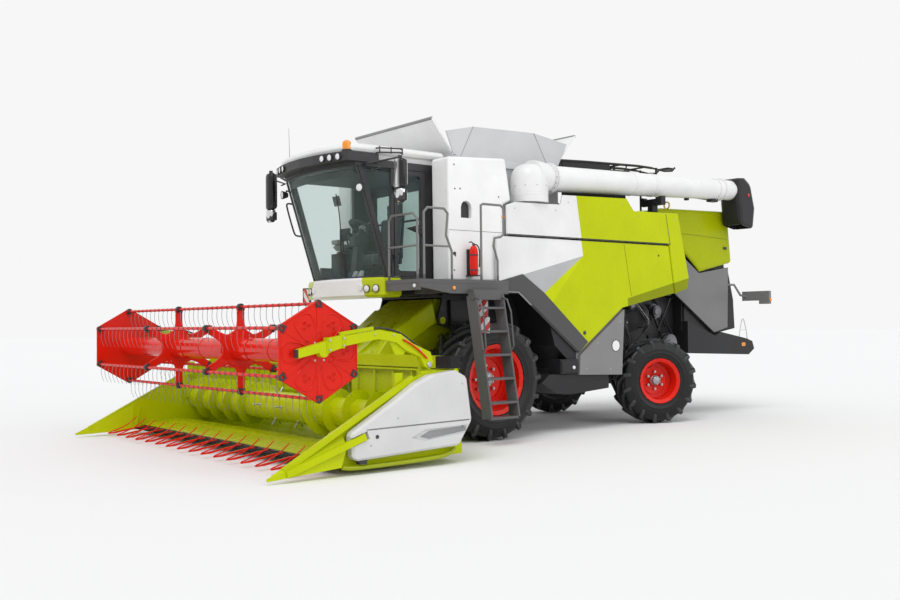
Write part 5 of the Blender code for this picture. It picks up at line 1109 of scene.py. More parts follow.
def cushion(name, shape, cap, seams):
    """A padded piece: remeshed, blown up as cloth, held within cap, then sewn along the given widths."""
    mesh = bpy.data.meshes.new(name)
    mesh.from_pydata([(x + AXLE_X, y, z) for x, y, z in shape.points], [], shape.faces)
    obj = bpy.data.objects.new(name, mesh)
    bpy.context.scene.collection.objects.link(obj)
    rounder = obj.modifiers.new("edges", "BEVEL")
    rounder.width = 0.028
    rounder.segments = 3
    voxels = obj.modifiers.new("voxels", "REMESH")
    voxels.mode = "VOXEL"
    voxels.voxel_size = 0.0085
    mesh = applied(obj)
    start = [vertex.co.copy() for vertex in mesh.vertices]
    cloth = obj.modifiers.new("cloth", "CLOTH")
    cloth.settings.use_pressure = True
    cloth.settings.uniform_pressure_force = 4
    cloth.settings.quality = 4
    cloth.settings.effector_weights.gravity = 0
    for number in range(1, 21):
        bpy.context.scene.frame_set(number)
    mesh = applied(obj)
    bpy.context.scene.frame_set(1)
    for vertex, place in zip(mesh.vertices, start):
        away = vertex.co - place
        if away.length > cap:
            vertex.co = place + away * (cap / away.length)
    mesh.update()
    pulled = []
    for vertex in mesh.vertices:
        near = min(abs(abs(vertex.co.y) - seam) for seam in seams)
        pulled.append(vertex.co - vertex.normal * 0.010 * math.exp(-((near / 0.010) ** 2)))
    for vertex, place in zip(mesh.vertices, pulled):
        vertex.co = place
    finer = obj.modifiers.new("finer", "SUBSURF")
    finer.levels = 1
    mesh = applied(obj)
    mesh.materials.clear()
    mesh.materials.append(seat_cloth)
    mesh.shade_smooth()
    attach(obj, "chassis")
    return obj


def make_seat():
    """The seat's hard frame, which replaces the plain solid, and its four padded pieces."""
    hard = Shape()
    hard.lathe(
        [(AXIS, 2.2005), (0.17, 2.2005), (0.17, 2.225), (0.10, 2.25), (0.10, 2.36), (AXIS, 2.36)],
        (0.875, 0, 0), UP, 24,
    )
    hard.box((0.66, 1.08), (-0.22, 0.22), (2.36, 2.405))
    hard.slab([(0.598, 2.42), (0.625, 2.42), (0.565, 3.12), (0.538, 3.12)], -0.20, 0.20)
    hard.tube([(0.56, -0.06, 3.08), (0.585, -0.06, 3.22)], 0.008, 8)
    hard.tube([(0.56, 0.06, 3.08), (0.585, 0.06, 3.22)], 0.008, 8)
    hard.box((0.72, 0.86), (-0.40, -0.20), (2.44, 2.50))
    hard.box((0.76, 0.84), (-0.40, -0.33), (2.44, 2.62))
    hard.slab(
        [(0.66, 2.62), (1.10, 2.62), (1.16, 2.655), (1.16, 2.70), (1.06, 2.72), (0.70, 2.72), (0.66, 2.69)],
        -0.42, -0.29,
    )
    hard.tube([(1.12, -0.36, 2.69), (1.155, -0.38, 2.80)], 0.014, 8)
    hard.box((1.14, 1.17), (-0.52, -0.28), (2.76, 2.94))
    shown = piece("seat_frame", hard, cab_plastic, bevel=0.006)
    flat = Shape().box((0.65, 1.11), (-0.245, 0.245), (2.425, 2.535))
    back = Shape().slab([(0.645, 2.54), (0.735, 2.54), (0.665, 3.08), (0.580, 3.08)], -0.228, 0.228)
    head = Shape().box((0.552, 0.640), (-0.122, 0.122), (3.10, 3.275))
    arm = Shape().box((0.685, 0.99), (0.295, 0.355), (2.64, 2.69))
    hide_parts("operator_seat")
    for name, shape, cap, seams in (
        ("seat_cushion", flat, 0.016, (0.15,)), ("seat_back", back, 0.014, (0.13,)),
        ("seat_head", head, 0.010, (0.0,)),
        ("seat_arm", arm, 0.006, (0.325,)),
    ):
        cushion(name, shape, cap, seams)


def make_cab_lining():
    """Pale lining on the rear wall with its window, a light floor mat and the wheel's padded rim."""
    wall, bars, grey, floor = shapes(4)
    wall.box((0.4505, 0.456), (-0.84, 0.84), (2.26, 3.56))
    bars.box((0.4505, 0.470), (-0.05, 0.03), (2.52, 3.56))
    bars.box((0.4505, 0.462), (-0.84, 0.84), (3.02, 3.05))
    bars.box((0.4505, 0.466), (0.50, 0.57), (2.52, 3.56))
    bars.box((0.4505, 0.466), (-0.84, -0.62), (2.52, 3.56))
    bars.box((0.4505, 0.466), (-0.84, 0.84), (3.44, 3.58))
    grey.box((0.4505, 0.460), (-0.84, 0.84), (2.2005, 2.25))
    grey.slab([(0.52, 2.645), (1.06, 2.645), (1.12, 2.70), (1.08, 2.735), (0.56, 2.735)], -0.80, -0.62)
    bars.box((1.10, 1.30), (-0.065, 0.065), (2.66, 2.79))
    grey.box((1.02, 1.14), (-0.80, -0.64), (2.735, 2.80))
    floor.box((0.50, 1.30), (-0.56, 0.84), (2.2005, 2.206))
    tilt = Matrix.Translation((1.12, 0, 2.92)) @ Matrix.Rotation(math.radians(-30), 4, "Y")
    rim, spokes = shapes(2)
    rim.rings([
        [
            tilt @ Vector(
                (
                    (0.192 + 0.0215 * math.cos(b)) * math.cos(a),
                    (0.192 + 0.0215 * math.cos(b)) * math.sin(a), 0.0215 * math.sin(b),
                )
            )
            for b in turns(10)
        ]
        for a in turns(48)
    ], closed=True)
    spokes.lathe(
        [(AXIS, -0.03), (0.055, -0.03), (0.058, 0.012), (0.045, 0.024), (AXIS, 0.027)],
        tilt @ Vector((0, 0, 0)), tilt.to_3x3() @ Vector(UP), 28,
    )
    spokes.tube(
        [
            tilt @ Vector((0.03, 0.05, 0.02)), tilt @ Vector((0.02, 0.13, 0.05)),
            tilt @ Vector((0.01, 0.20, 0.075)),
        ],
        [0.007, 0.008, 0.010], 8,
    )
    piece("cab_rear_lining", wall, cab_wall, bevel=0.002)
    piece("cab_rear_bars", bars, cab_plastic)
    piece("cab_side_unit", grey, cab_grey, bevel=0.008)
    piece("cab_floor_mat", floor, cab_grey, bevel=0.002)
    piece("steering_rim", rim, soft_black)
    piece("steering_hub", spokes, cab_grey)


make_lamps()
make_mirrors()
make_seat()
make_cab_outside()
make_cab_inside()
make_cab_lining()


# The body: tube, panels, seams, boards, rails and drives.
TUBE_AT = (-0.88, 1.25)
TUBE_ENDS = ((-0.98, 3.64), (-5.56, 3.79))


def on_tube(x):
    share = (x - TUBE_ENDS[0][0]) / (TUBE_ENDS[1][0] - TUBE_ENDS[0][0])
    return TUBE_ENDS[0][1] + (TUBE_ENDS[1][1] - TUBE_ENDS[0][1]) * share, 0.19 - 0.025 * share


def make_unloading_tube():
    """The tube with its turning elbow, flanges, bolts and marker."""
    ax, ay = TUBE_AT
    drum, bolts, fittings = shapes(3)
    profile = [(AXIS, 3.2703), (0.27, 3.2703), (0.27, 3.40), (0.269, 3.55), (0.262, 3.64), (0.240, 3.72)]
    profile += [(0.20, 3.775), (0.14, 3.808), (0.07, 3.820), (AXIS, 3.822)]
    drum.lathe(profile, (ax, ay, 0), UP, 56)
    drum.lathe(band(0.26, 0.2705, 3.36, 3.385), (ax, ay, 0), UP, 56)
    rings = []
    for x, grow in ((-0.90, 1.36), (-1.05, 1.32), (-1.17, 1.16), (-1.22, 1.02)):
        z, radius = on_tube(x)
        rings.append(
            [(x, ay + radius * grow * math.cos(a), z + radius * grow * 0.96 * math.sin(a)) for a in turns(48)]
        )
    drum.rings(rings)
    z0, r0 = on_tube(-0.98)
    z1, r1 = on_tube(-5.56)
    drum.tube(
        [(-0.98, ay, z0), (-3.2, ay, on_tube(-3.2)[0]), (-5.56, ay, z1)], [r0, on_tube(-3.2)[1], r1], 56,
    )
    for x, wide, proud in (
        (-1.225, 0.014, 0.040), (-1.253, 0.014, 0.040), (-2.95, 0.020, 0.006), (-3.42, 0.05, 0.006),
        (-5.02, 0.02, 0.012), (-5.16, 0.012, 0.020),
    ):
        z, radius = on_tube(x)
        tilt = (-1, 0, 0.0328)
        drum.lathe(band(radius - 0.01, radius + proud, 0, wide), (x, ay, z), tilt, 56)
    for angle in turns(16):
        z, radius = on_tube(-1.24)
        at = (-1.222, ay + (radius + 0.028) * math.cos(angle), z + (radius + 0.028) * math.sin(angle))
        bolts.lathe(stud(0, 0.055, 0.009), at, (-1, 0, 0.0328), 6)
    for angle in turns(10):
        at = (ax + 0.2695 * math.cos(angle), ay + 0.2695 * math.sin(angle), 3.50)
        bolts.lathe(stud(-0.01, 0.006, 0.008, 0.008, 0.007), at, (math.cos(angle), math.sin(angle), 0), 6)
    z, radius = on_tube(-4.33)
    fittings.box((-4.36, -4.30), (ay - 0.03, ay + 0.03), (z - radius - 0.035, z - radius + 0.02))
    z, radius = on_tube(-5.0)
    fittings.box((-5.08, -4.90), (ay - 0.05, ay + 0.05), (z - radius - 0.045, z - radius + 0.02))
    fittings.tube(
        [(-4.90, ay, z - radius - 0.02), (-4.70, ay, z - radius - 0.012), (-4.36, ay, z - radius - 0.01)],
        0.009, 6,
    )
    shown = piece("unloading_tube_shell", drum, white_paint, "unloader", smooth=32)
    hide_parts("unloading_tube")
    piece("unloading_tube_bolts", bolts, plain_steel, "unloader")
    piece("unloading_tube_fittings", fittings, black_paint, "unloader", bevel=0.004)
    tail = Shape().lathe(
        [(AXIS, -0.02), (0.026, -0.02), (0.028, 0.01), (0.018, 0.02), (AXIS, 0.022)],
        (-5.70, ay + 0.2, 3.70), ACROSS, 20,
    )
    piece("tube_marker", tail, red_lens, "unloader")


def helix(shape, start, end, turns_made, hand, inner, outer, half, at):
    """One flight of an auger as a thin closed strip wound about the crosswise axis at."""
    steps = int(turns_made * 40)
    rings = []
    for step in range(steps + 1):
        share = step / steps
        angle = hand * 2 * math.pi * turns_made * share
        y = start + (end - start) * share
        ring = []
        for radius, shift in ((inner, -half), (outer, -half * 0.7), (outer, half * 0.7), (inner, half)):
            ring.append((at[0] + radius * math.cos(angle), y + shift, at[1] + radius * math.sin(angle)))
        rings.append(ring)
    shape.rings(rings)


def make_auger():
    """The feeding auger with smooth flights, wear strips and its retracting fingers."""
    at = (2.30, 0.50)
    reach = HEADER_HALF - 0.038
    tube, fingers = shapes(2)
    tube.tube([(at[0], -reach, at[1]), (at[0], reach, at[1])], 0.19, 64)
    tube.tube([(at[0], -reach + 0.01 - 0.0177, at[1]), (at[0], reach - 0.01 + 0.0177, at[1])], 0.04, 24)
    helix(tube, reach - 0.02, 0.62, 4.6, 1, 0.185, 0.300, 0.0055, at)
    helix(tube, -reach + 0.02, -0.62, 4.6, 1, 0.185, 0.300, 0.0055, at)
    for y in (-0.62, -0.31, 0.0, 0.31, 0.62, -1.7, 1.7):
        tube.lathe(band(0.18, 0.1925, y - 0.012, y + 0.012), (at[0], 0, at[1]), ACROSS, 64)
    for row in range(4):
        y = -0.45 + row * 0.30
        for spoke in range(3):
            angle = math.radians(120 * spoke + 60 * (row % 2) + 5)
            out = Vector((math.cos(angle), 0, math.sin(angle)))
            centre = Vector((at[0], y, at[1]))
            fingers.tube(
                [centre + out * 0.17, centre + out * 0.28, centre + out * 0.29], [0.009, 0.009, 0.006], 10,
            )
            fingers.lathe(stud(0.18, 0.198, 0.026, 0.022, 0.200), centre, out, 14)
    shown = piece("auger_shell", tube, lime_paint, "auger")
    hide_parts("intake_auger")
    piece("auger_fingers", fingers, plain_steel, "auger")


def make_side_details():
    """Seams, screws and blank round plates of the side panels, the doors and the towers."""
    lines, screws, plate, rim = shapes(4)
    y = 1.45
    lines.box((-3.68, -0.2898), (y - 0.02, y + 0.002), (2.7855, 2.7975))
    lines.beam((-3.575, y - 0.004, 3.255), (-3.665, y - 0.004, 2.80), 0.011, 0.011, ACROSS)
    for x, z in (
        (-0.42, 3.15), (-1.20, 3.17), (-1.45, 3.30), (-2.60, 3.34), (-2.95, 3.18), (-3.80, 3.18),
        (-3.98, 2.25),
    ):
        screws.lathe(stud(-0.006, 0.004, 0.011, 0.009, 0.005), (x, y, z), ACROSS, 12)
    plate.lathe(stud(-0.004, 0.004, 0.085), (-2.40, y, 1.225), ACROSS, 40)
    rim.lathe(band(0.080, 0.088, -0.002, 0.006), (-2.40, y, 1.225), ACROSS, 40)
    for x, z in ((-2.28, 0.88), (-1.78, 0.90), (-2.02, 1.27), (-2.50, 1.58)):
        screws.lathe(stud(-0.006, 0.005, 0.012, 0.010, 0.006), (x, y, z), ACROSS, 12)
    on_both_sides(lines, screws, plate, rim)
    piece("side_seams", lines, soft_black)
    piece("side_screws", screws, plain_steel)
    piece("speed_plates", plate, white_paint)
    piece("speed_plate_rims", rim, black_paint)
    for name, sign in (("left", 1), ("right", -1)):
        seams, knob = shapes(2)
        face = sign * 1.438
        seams.beam((-2.62, face, 2.752), (-2.772, face, 1.975), 0.006, 0.004, ACROSS)
        knob.lathe(
            [(AXIS, -0.004), (0.030, -0.004), (0.028, 0.006), (0.018, 0.008), (AXIS, 0.004)],
            (-1.76, face, 1.424), (0, sign, 0), 20,
        )
        knob.lathe(stud(-0.004, 0.006, 0.016, 0.014), (-3.40, face, 2.60), (0, sign, 0), 16)
        piece(f"side_door_seam_{name}", seams, dark_lime, f"side_door_{name}")
        piece(f"side_door_lock_{name}", knob, soft_black, f"side_door_{name}")
    tower, arches, marks = shapes(3)
    outer = 1.37
    arch = [(0.455, 2.985)]
    for turn in range(0, 181, 20):
        angle = math.radians(turn)
        arch.append((0.37 + 0.085 * math.cos(angle), 3.12 + 0.085 * math.sin(angle)))
    arch.append((0.285, 2.985))
    arches.slab(arch, outer - 0.0595, outer - 0.055)
    tower.box((-0.27, 0.655), (outer - 0.003, outer + 0.0012), (2.808, 2.814))
    for x, z in (
        (0.56, 3.36), (0.47, 3.365), (0.56, 2.47), (-0.20, 3.30), (-0.18, 2.30), (0.58, 2.28), (0.57, 3.68),
    ):
        marks.lathe(stud(-0.006, 0.004, 0.012, 0.010, 0.005), (x, outer, z), ACROSS, 14)
    marks.lathe(stud(-0.006, 0.006, 0.026, 0.024, 0.008), (0.575, outer, 2.50), ACROSS, 20)
    on_both_sides(tower, arches, marks)
    piece("tower_seams", tower, dark_steel)
    piece("tower_arches", arches, cab_plastic)
    piece("tower_marks", marks, soft_black)


def make_extinguisher():
    """Bottle, valve, hose and bracket, with no label."""
    bottle, parts, bracket = shapes(3)
    x, y = 0.33, 1.47
    at = (x, y, 0)
    profile = [
        (0.001, 2.215), (0.050, 2.215), (0.056, 2.228), (0.057, 2.29), (0.057, 2.52), (0.052, 2.56),
        (0.036, 2.592), (0.018, 2.606), (AXIS, 2.607),
    ]
    bottle.lathe(profile, at, UP, 36)
    parts.lathe(stud(2.60, 2.635, 0.018, 0.018, 2.638), at, UP, 16)
    parts.tube([(x, y, 2.63), (x + 0.04, y, 2.655), (x + 0.075, y, 2.645)], 0.008, 8)
    hose = [
        (x, y, 2.62), (x - 0.045, y + 0.02, 2.61), (x - 0.065, y + 0.04, 2.54),
        (x - 0.062, y + 0.045, 2.40),
    ]
    parts.tube(hose + [(x - 0.058, y + 0.045, 2.32)], 0.009, 8, 4)
    for z in (2.27, 2.47):
        parts.lathe(band(0.053, 0.060, z, z + 0.018), at, UP, 36)
    bracket.box((x - 0.045, x + 0.045), (1.371, 1.414), (2.20, 2.56))
    bracket.box((x - 0.06, x + 0.06), (1.371, 1.53), (2.198, 2.214))
    piece("extinguisher_bottle", bottle, red_paint)
    piece("extinguisher_valve", parts, soft_black)
    piece("extinguisher_bracket", bracket, black_paint, bevel=0.003)


def make_boards():
    """Red and white boards behind the ladder and at the right, marker lamps and the step lamp's box."""
    board, frame_bars, markers = shapes(3)
    board.box((0.17, 0.47), (1.555, 1.561), (1.665, 1.89))
    board.box((0.14, 0.44), (1.555, 1.561), (1.445, 1.655))
    board.box((0.94, 0.946), (-1.96, -1.78), (1.90, 2.13))
    frame_bars.box((0.15, 0.19), (1.535, 1.555), (1.43, 2.088))
    frame_bars.box((0.41, 0.45), (1.535, 1.555), (1.43, 2.088))
    frame_bars.box((0.915, 0.94), (-1.97, -1.77), (1.89, 2.14))
    frame_bars.box((0.94, 0.952), (-1.975, -1.96), (1.885, 2.145))
    frame_bars.box((0.94, 0.952), (-1.78, -1.765), (1.885, 2.145))
    frame_bars.box((0.94, 0.952), (-1.96, -1.78), (2.13, 2.145))
    frame_bars.tube([(0.925, -1.80, 2.08), (0.90, -1.55, 2.09), (0.80, -1.355, 2.09)], 0.016, 8)
    frame_bars.box((-1.62, -1.27), (1.20, 1.44), (0.84, 1.05))
    frame_bars.box((-1.60, -1.29), (1.44, 1.452), (0.86, 1.03))
    markers.lathe(stud(-0.006, 0.012, 0.026, 0.024, 0.016), (0.85, 1.70, 2.03), ACROSS, 20)
    markers.lathe(stud(-0.006, 0.012, 0.026, 0.024, 0.016), (-0.02, 1.67, 2.99), (0.4, 1, 0), 20)
    white = Shape().lathe(stud(-0.004, 0.010, 0.026, 0.024, 0.012), (-1.52, 1.452, 0.93), ACROSS, 20)
    piece("warning_boards", board, warning_board)
    piece("board_frames", frame_bars, black_paint, bevel=0.004)
    piece("side_markers", markers, amber_lens)
    piece("step_lamp", white, lamp_lens)


def make_tank_details():
    """Dark seals along the flaps' upper edges, their stiffening folds and the grab on the hood."""
    for name, x, z, base_x in (("front", 0.61, 4.36, 0.27), ("rear", -2.10, 4.397, -1.69)):
        seal, folds = shapes(2)
        seal.tube([(x, -0.942, z), (x, 0.942, z)], 0.0225, 12)
        for y in (-0.48, 0.48):
            start, end = (base_x, y, 3.95), (x - (x - base_x) * 0.06, y, z - 0.03)
            folds.beam(start, end, 0.030, 0.034, ACROSS)
        piece(f"flap_seal_{name}", seal, groove_grey, f"flap_{name}")
        piece(f"flap_folds_{name}", folds, flap_painted_light, f"flap_{name}")
    creases = Shape().tube([(0.155, 0.992, 3.88), (-0.028, 1.040, 4.295)], 0.009, 8)
    creases.tube([(-1.475, 0.992, 3.88), (-1.168, 1.040, 4.325)], 0.009, 8).both_sides()
    piece("tank_creases", creases, hub_steel)
    grab = Shape().box((-5.64, -5.55), (1.0295, 1.042), (2.80, 2.845)).both_sides()
    seam = Shape().beam((-3.76, 1.0292, 3.05), (-5.66, 1.0292, 2.98), 0.006, 0.006, ACROSS).both_sides()
    piece("hood_grabs", grab, soft_black, bevel=0.003)
    piece("hood_seams", seam, dark_lime)


def make_engine_details():
    """Rotary screen, air cleaner, silencer and hoses on the open deck behind the tank."""
    dark, bright, hoses = shapes(3)
    dark.lathe(
        [(AXIS, 0.0), (0.30, 0.0), (0.30, 0.03), (0.26, 0.045), (AXIS, 0.05)], (-3.20, -0.60, 3.225), UP,
        40,
    )
    dark.tube([(-2.20, -0.45, 3.36), (-2.20, 0.35, 3.36)], 0.12, 28)
    dark.tube([(-2.20, 0.35, 3.36), (-2.20, 0.42, 3.36)], 0.10, 28)
    bright.tube([(-2.62, -0.40, 3.33), (-2.62, 0.30, 3.33)], 0.085, 24)
    bright.tube([(-2.62, 0.30, 3.33), (-2.70, 0.36, 3.38), (-2.84, 0.36, 3.42)], 0.045, 14, 4)
    hoses.tube(
        [(-2.20, -0.45, 3.38), (-2.24, -0.62, 3.36), (-2.50, -0.66, 3.30), (-2.70, -0.62, 3.24)], 0.045,
        14, 5,
    )
    for y in (0.10, 0.18, 0.26):
        hoses.tube(
            [(-2.75, y, 3.24), (-2.95, y + 0.05, 3.36), (-3.30, y + 0.04, 3.32), (-3.50, y, 3.24)], 0.016,
            8, 5,
        )
    piece("engine_cleaner", dark, cab_plastic)
    piece("engine_silencer", bright, dark_steel)
    piece("engine_hoses", hoses, soft_black)


def make_rear_details():
    """Rails of the engine deck, tail lamps, the spreader's hoops, the lifting eyes and a black plate as
    painted shade between the rail posts.
    """
    rails, lenses, wires, eyes, amber, posts_and_shade_plate = shapes(6)
    ring = []
    for y in (0.86, 0.52):
        rails.tube([(-1.80, y, 4.02), (-2.4, y, 4.05), (-3.6, y, 4.09), (-3.95, y, 4.085)], 0.020, 8)
        rails.tube([(-1.82, y, 3.92), (-2.4, y, 3.94), (-3.4, y, 3.98)], 0.016, 8)
        rails.tube([(-3.95, y, 4.085), (-4.25, y, 4.06), (-4.45, y, 4.08), (-4.52, y, 4.14)], 0.016, 8)
        for x in (-1.84, -2.3, -2.8, -3.3):
            rails.tube([(x, y, 3.92 + (-1.8 - x) * 0.04), (x - 0.05, y, 4.03 + (-1.8 - x) * 0.035)], 0.012, 6)
        for x, foot in ((-1.92, 3.22), (-3.05, 3.22), (-4.05, 3.41)):
            posts_and_shade_plate.tube([(x, y, foot - 0.01), (x, y, 4.03 + (-1.8 - x) * 0.03)], 0.018, 8)
    for x in (-2.0, -2.6, -3.2, -3.8):
        rails.tube([(x, 0.86, 4.03 + (-1.8 - x) * 0.03), (x, 0.52, 4.03 + (-1.8 - x) * 0.03)], 0.014, 8)
    rails.box((-4.60, -4.44), (0.60, 0.78), (4.115, 4.15))
    rails.beam((-1.84, 0.86, 3.970), (-2.95, 0.86, 4.012), 0.014, 0.100)
    # Painted shade: a black plate closes the gap between the posts.
    posts_and_shade_plate.box((-3.30, -1.90), (0.852, 0.868), (3.24, 3.62))
    lenses.box((-6.006, -5.999), (1.16, 1.40), (1.95, 2.05))
    lenses.box((-6.006, -5.999), (1.50, 1.63), (1.88, 2.05))
    amber.lathe(stud(-0.01, 0.016, 0.030, 0.027, 0.020), (-5.97, 1.66, 1.93), ACROSS, 20)
    amber.box((-6.10, -6.00), (1.0495, 1.056), (1.14, 1.20))
    hoop = [
        (-6.02, 1.265), (-6.06, 1.42), (-6.12, 1.60), (-6.15, 1.615), (-6.18, 1.58), (-6.24, 1.40),
        (-6.27, 1.215),
    ]
    wires.tube([(x, 0.98, z) for x, z in hoop], 0.009, 8)
    wires.tube([(-6.06, 0.98, 1.42), (-6.235, 0.98, 1.42)], 0.007, 8)
    for a in turns(20):
        out = Vector((0, math.cos(a), math.sin(a)))
        middle = Vector((-4.16, 0.98, 3.475)) + out * 0.055
        ring.append(
            [middle + out * 0.013 * math.cos(b) + Vector((0.013 * math.sin(b), 0, 0)) for b in turns(8)]
        )
    eyes.rings(ring, closed=True)
    eyes.lathe(
        [(AXIS, -0.04), (0.028, -0.04), (0.028, -0.022), (0.016, 0.0), (AXIS, 0.0)], (-4.16, 0.98, 3.425),
        UP, 16,
    )
    on_both_sides(lenses, wires, eyes, amber)
    piece("deck_rails", rails, black_paint)
    piece("deck_rail_posts_and_shade_plate", posts_and_shade_plate, black_paint)
    piece("tail_lamps", lenses, red_lens)
    piece("amber_markers", amber, amber_lens)
    piece("spreader_hoops", wires, white_paint)
    piece("lifting_eyes", eyes, gold_steel)


def make_drives():
    """Pulleys, belts, hoses and springs in the bay between the lower panel and the rear wheel."""
    pulleys, belts, hoses, rods, chromes = shapes(5)

    def pulley(x, z, radius, y=0.82):
        profile = [(AXIS, y - 0.075), (0.045, y - 0.075), (0.045, y - 0.02), (radius * 0.8, y - 0.015)]
        profile += [(radius, y - 0.03), (radius * 0.90, y), (radius, y + 0.03), (radius * 0.8, y + 0.015)]
        profile += [(0.055, y + 0.01), (0.055, y + 0.035), (AXIS, y + 0.035)]
        pulleys.lathe(profile, (x, 0, z), ACROSS, 40)

    def belt(first, second, y=0.82):
        (x0, z0, r0), (x1, z1, r1) = first, second
        away = math.atan2(z1 - z0, x1 - x0)
        spread = math.acos((r0 - r1) / math.hypot(x1 - x0, z1 - z0))
        path = []
        for step in range(17):
            angle = away + spread + (2 * math.pi - 2 * spread) * step / 16
            path.append((x0 + r0 * math.cos(angle), z0 + r0 * math.sin(angle)))
        for step in range(17):
            angle = away - spread + 2 * spread * step / 16
            path.append((x1 + r1 * math.cos(angle), z1 + r1 * math.sin(angle)))
        rings = []
        centre = Vector(((x0 + x1) / 2, (z0 + z1) / 2))
        for number, point in enumerate(path):
            before, after = Vector(path[number - 1]), Vector(path[(number + 1) % len(path)])
            ahead = (after - before).normalized()
            out = Vector((ahead.y, -ahead.x))
            if out.dot(Vector(point) - centre) < 0:
                out = -out
            low, high = Vector(point) - out * 0.006, Vector(point) + out * 0.007
            rings.append(
                [
                    (low.x, y - 0.010, low.y), (low.x, y + 0.010, low.y), (high.x, y + 0.015, high.y),
                    (high.x, y - 0.015, high.y),
                ]
            )
        belts.rings(rings, closed=True)

    spots = [
        (-2.95, 1.42, 0.20), (-3.95, 1.74, 0.13), (-4.28, 1.22, 0.17), (-3.45, 1.86, 0.09),
        (-2.90, 1.84, 0.07),
    ]
    for x, z, radius in spots:
        pulley(x, z, radius)
    belt((-2.95, 1.42, 0.185), (-3.95, 1.74, 0.118))
    pulley(-3.95, 1.74, 0.10, 0.90)
    pulley(-4.28, 1.22, 0.15, 0.90)
    belt((-3.95, 1.74, 0.09), (-4.28, 1.22, 0.138), 0.90)
    for number in range(5):
        y = 0.80 + 0.07 * number
        path = [
            (-2.70, y, 1.93), (-2.78 - 0.03 * number, y + 0.08, 1.72), (-3.02, 0.84 + 0.05 * number, 1.60),
        ]
        path += [(-3.14 - 0.05 * number, 0.88, 1.40 - 0.03 * number), (-3.30, 0.80, 1.20)]
        hoses.tube(path, 0.013, 8, 5)
    for number in range(3):
        path = [
            (-3.55, 0.78, 1.95), (-3.62 - 0.05 * number, 0.92, 1.76), (-3.70, 0.98 - 0.04 * number, 1.56),
            (-3.64, 0.86, 1.36), (-3.56, 0.78, 1.26),
        ]
        hoses.tube(path, 0.012, 8, 5)
    rods.tube([(-4.18, 1.0, 1.95), (-3.88, 0.98, 1.42)], 0.016, 8)
    rods.tube([(-4.05, 0.78, 1.98), (-4.30, 0.80, 1.50)], 0.020, 8)
    rods.tube([(-3.10, 0.80, 1.98), (-3.10, 0.80, 1.30)], 0.022, 8)
    rods.box((-3.35, -3.05), (0.751, 0.84), (1.46, 1.62))
    rods.box((-4.52, -2.62), (0.751, 0.79), (1.955, 1.979))
    rods.box((-4.50, -3.90), (0.751, 0.775), (1.30, 1.36))
    coil = []
    for step in range(120):
        angle = step * math.pi / 5
        share = step / 119
        coil.append(
            (
                -3.30 - 0.32 * share + 0.022 * math.cos(angle) * 0.5, 1.02 + 0.022 * math.sin(angle),
                1.90 - 0.30 * share + 0.022 * math.cos(angle),
            )
        )
    chromes.tube(coil, 0.0045, 5)
    chromes.tube([(-3.22, 0.96, 1.98), (-3.30, 1.02, 1.90)], 0.010, 8)
    chromes.tube([(-3.62, 1.02, 1.60), (-3.70, 0.94, 1.50), (-3.70, 0.76, 1.48)], 0.010, 8)
    for x, z in ((-3.12, 1.57), (-3.28, 1.57), (-3.20, 1.50)):
        chromes.lathe(
            [(AXIS, 0.80), (0.018, 0.80), (0.018, 0.875), (0.010, 0.885), (AXIS, 0.885)], (x, 0, z),
            ACROSS, 12,
        )
    on_both_sides(pulleys, belts, hoses, rods, chromes)
    piece("drive_pulleys", pulleys, drive_steel, smooth=25)
    piece("drive_belts", belts, belt_rubber)
    piece("drive_hoses", hoses, grey_hose)
    piece("drive_brackets", rods, black_paint, bevel=0.004)
    piece("drive_fittings", chromes, plain_steel)


# The wheels: carcass with ring lines, curved lugs that wrap onto the sidewall, nuts and hubs.
WALL = (
    (0.005, 0.65), (0.005, 0.845), (0.063, 0.871), (0.076, 0.942), (0.12, 0.956), (0.150, 0.948),
    (0.196, 0.963),
    (0.31, 0.982), (0.329, 0.994), (0.354, 0.994), (0.373, 0.985), (0.50, 0.998), (0.60, 0.998),
    (0.612, 0.990),
    (0.70, 0.978), (0.80, 0.950), (0.88, 0.912), (0.943, 0.862), (0.99, 0.79), (1.0, 0.645), (1.006, 0.32),
)


def tread(shape, lugs, radius, half, rim_radius, count, slant):
    """A tyre about its own centre, its axle along Y, standing on the flat between two lugs."""
    base = radius - 0.042
    depth = base - rim_radius
    wall = [(rim_radius + depth * a, half * b) for a, b in WALL]
    shape.lathe(wall + [(r, -y) for r, y in wall[::-1]], (0, 0, 0), ACROSS, 96)
    pitch = 2 * math.pi / count
    phase = math.pi - pitch / 4 - slant / 2
    stations = []
    for t in (0.0, 0.12, 0.3, 0.5, 0.7, 0.86, 0.96):
        y = -0.004 + (half * 0.93 + 0.004) * t
        turn = slant / 2 - slant * (1 - (1 - t) ** 1.7)
        stations.append((turn, base - 0.03, y, radius - 0.012 * t * t, y, 1.0))
    for step, (low, inside, high, outside) in enumerate((
        (0.955, 0.80, 1.055, 0.955), (0.90, 0.85, 0.975, 0.988), (0.80, 0.90, 0.87, 0.9985),
        (0.70, 0.93, 0.76, 0.9985),
        (0.62, 0.95, 0.66, 0.9985),
    )):
        turn = -slant / 2 - 0.008 * step
        thin = 1.0 - 0.09 * step
        stations.append(
            (turn, rim_radius + depth * low, half * inside, rim_radius + depth * high, half * outside, thin)
        )
    for row in (1, -1):
        for number in range(count):
            middle = phase + number * pitch + (pitch / 2 if row < 0 else 0)
            rings = []
            for turn, low, inside, high, outside, thin in stations:
                ring = []
                for across, share in (
                    (-0.052, 0), (-0.036, 0.8), (-0.029, 1), (0.029, 1), (0.036, 0.8), (0.052, 0),
                ):
                    r = low + (high - low) * share
                    y = inside + (outside - inside) * share
                    angle = middle + turn + across * thin * (1.1 - 0.25 * abs(y) / half) / r
                    ring.append((r * math.sin(angle), row * y, r * math.cos(angle)))
                rings.append(ring)
            lugs.rings(rings)


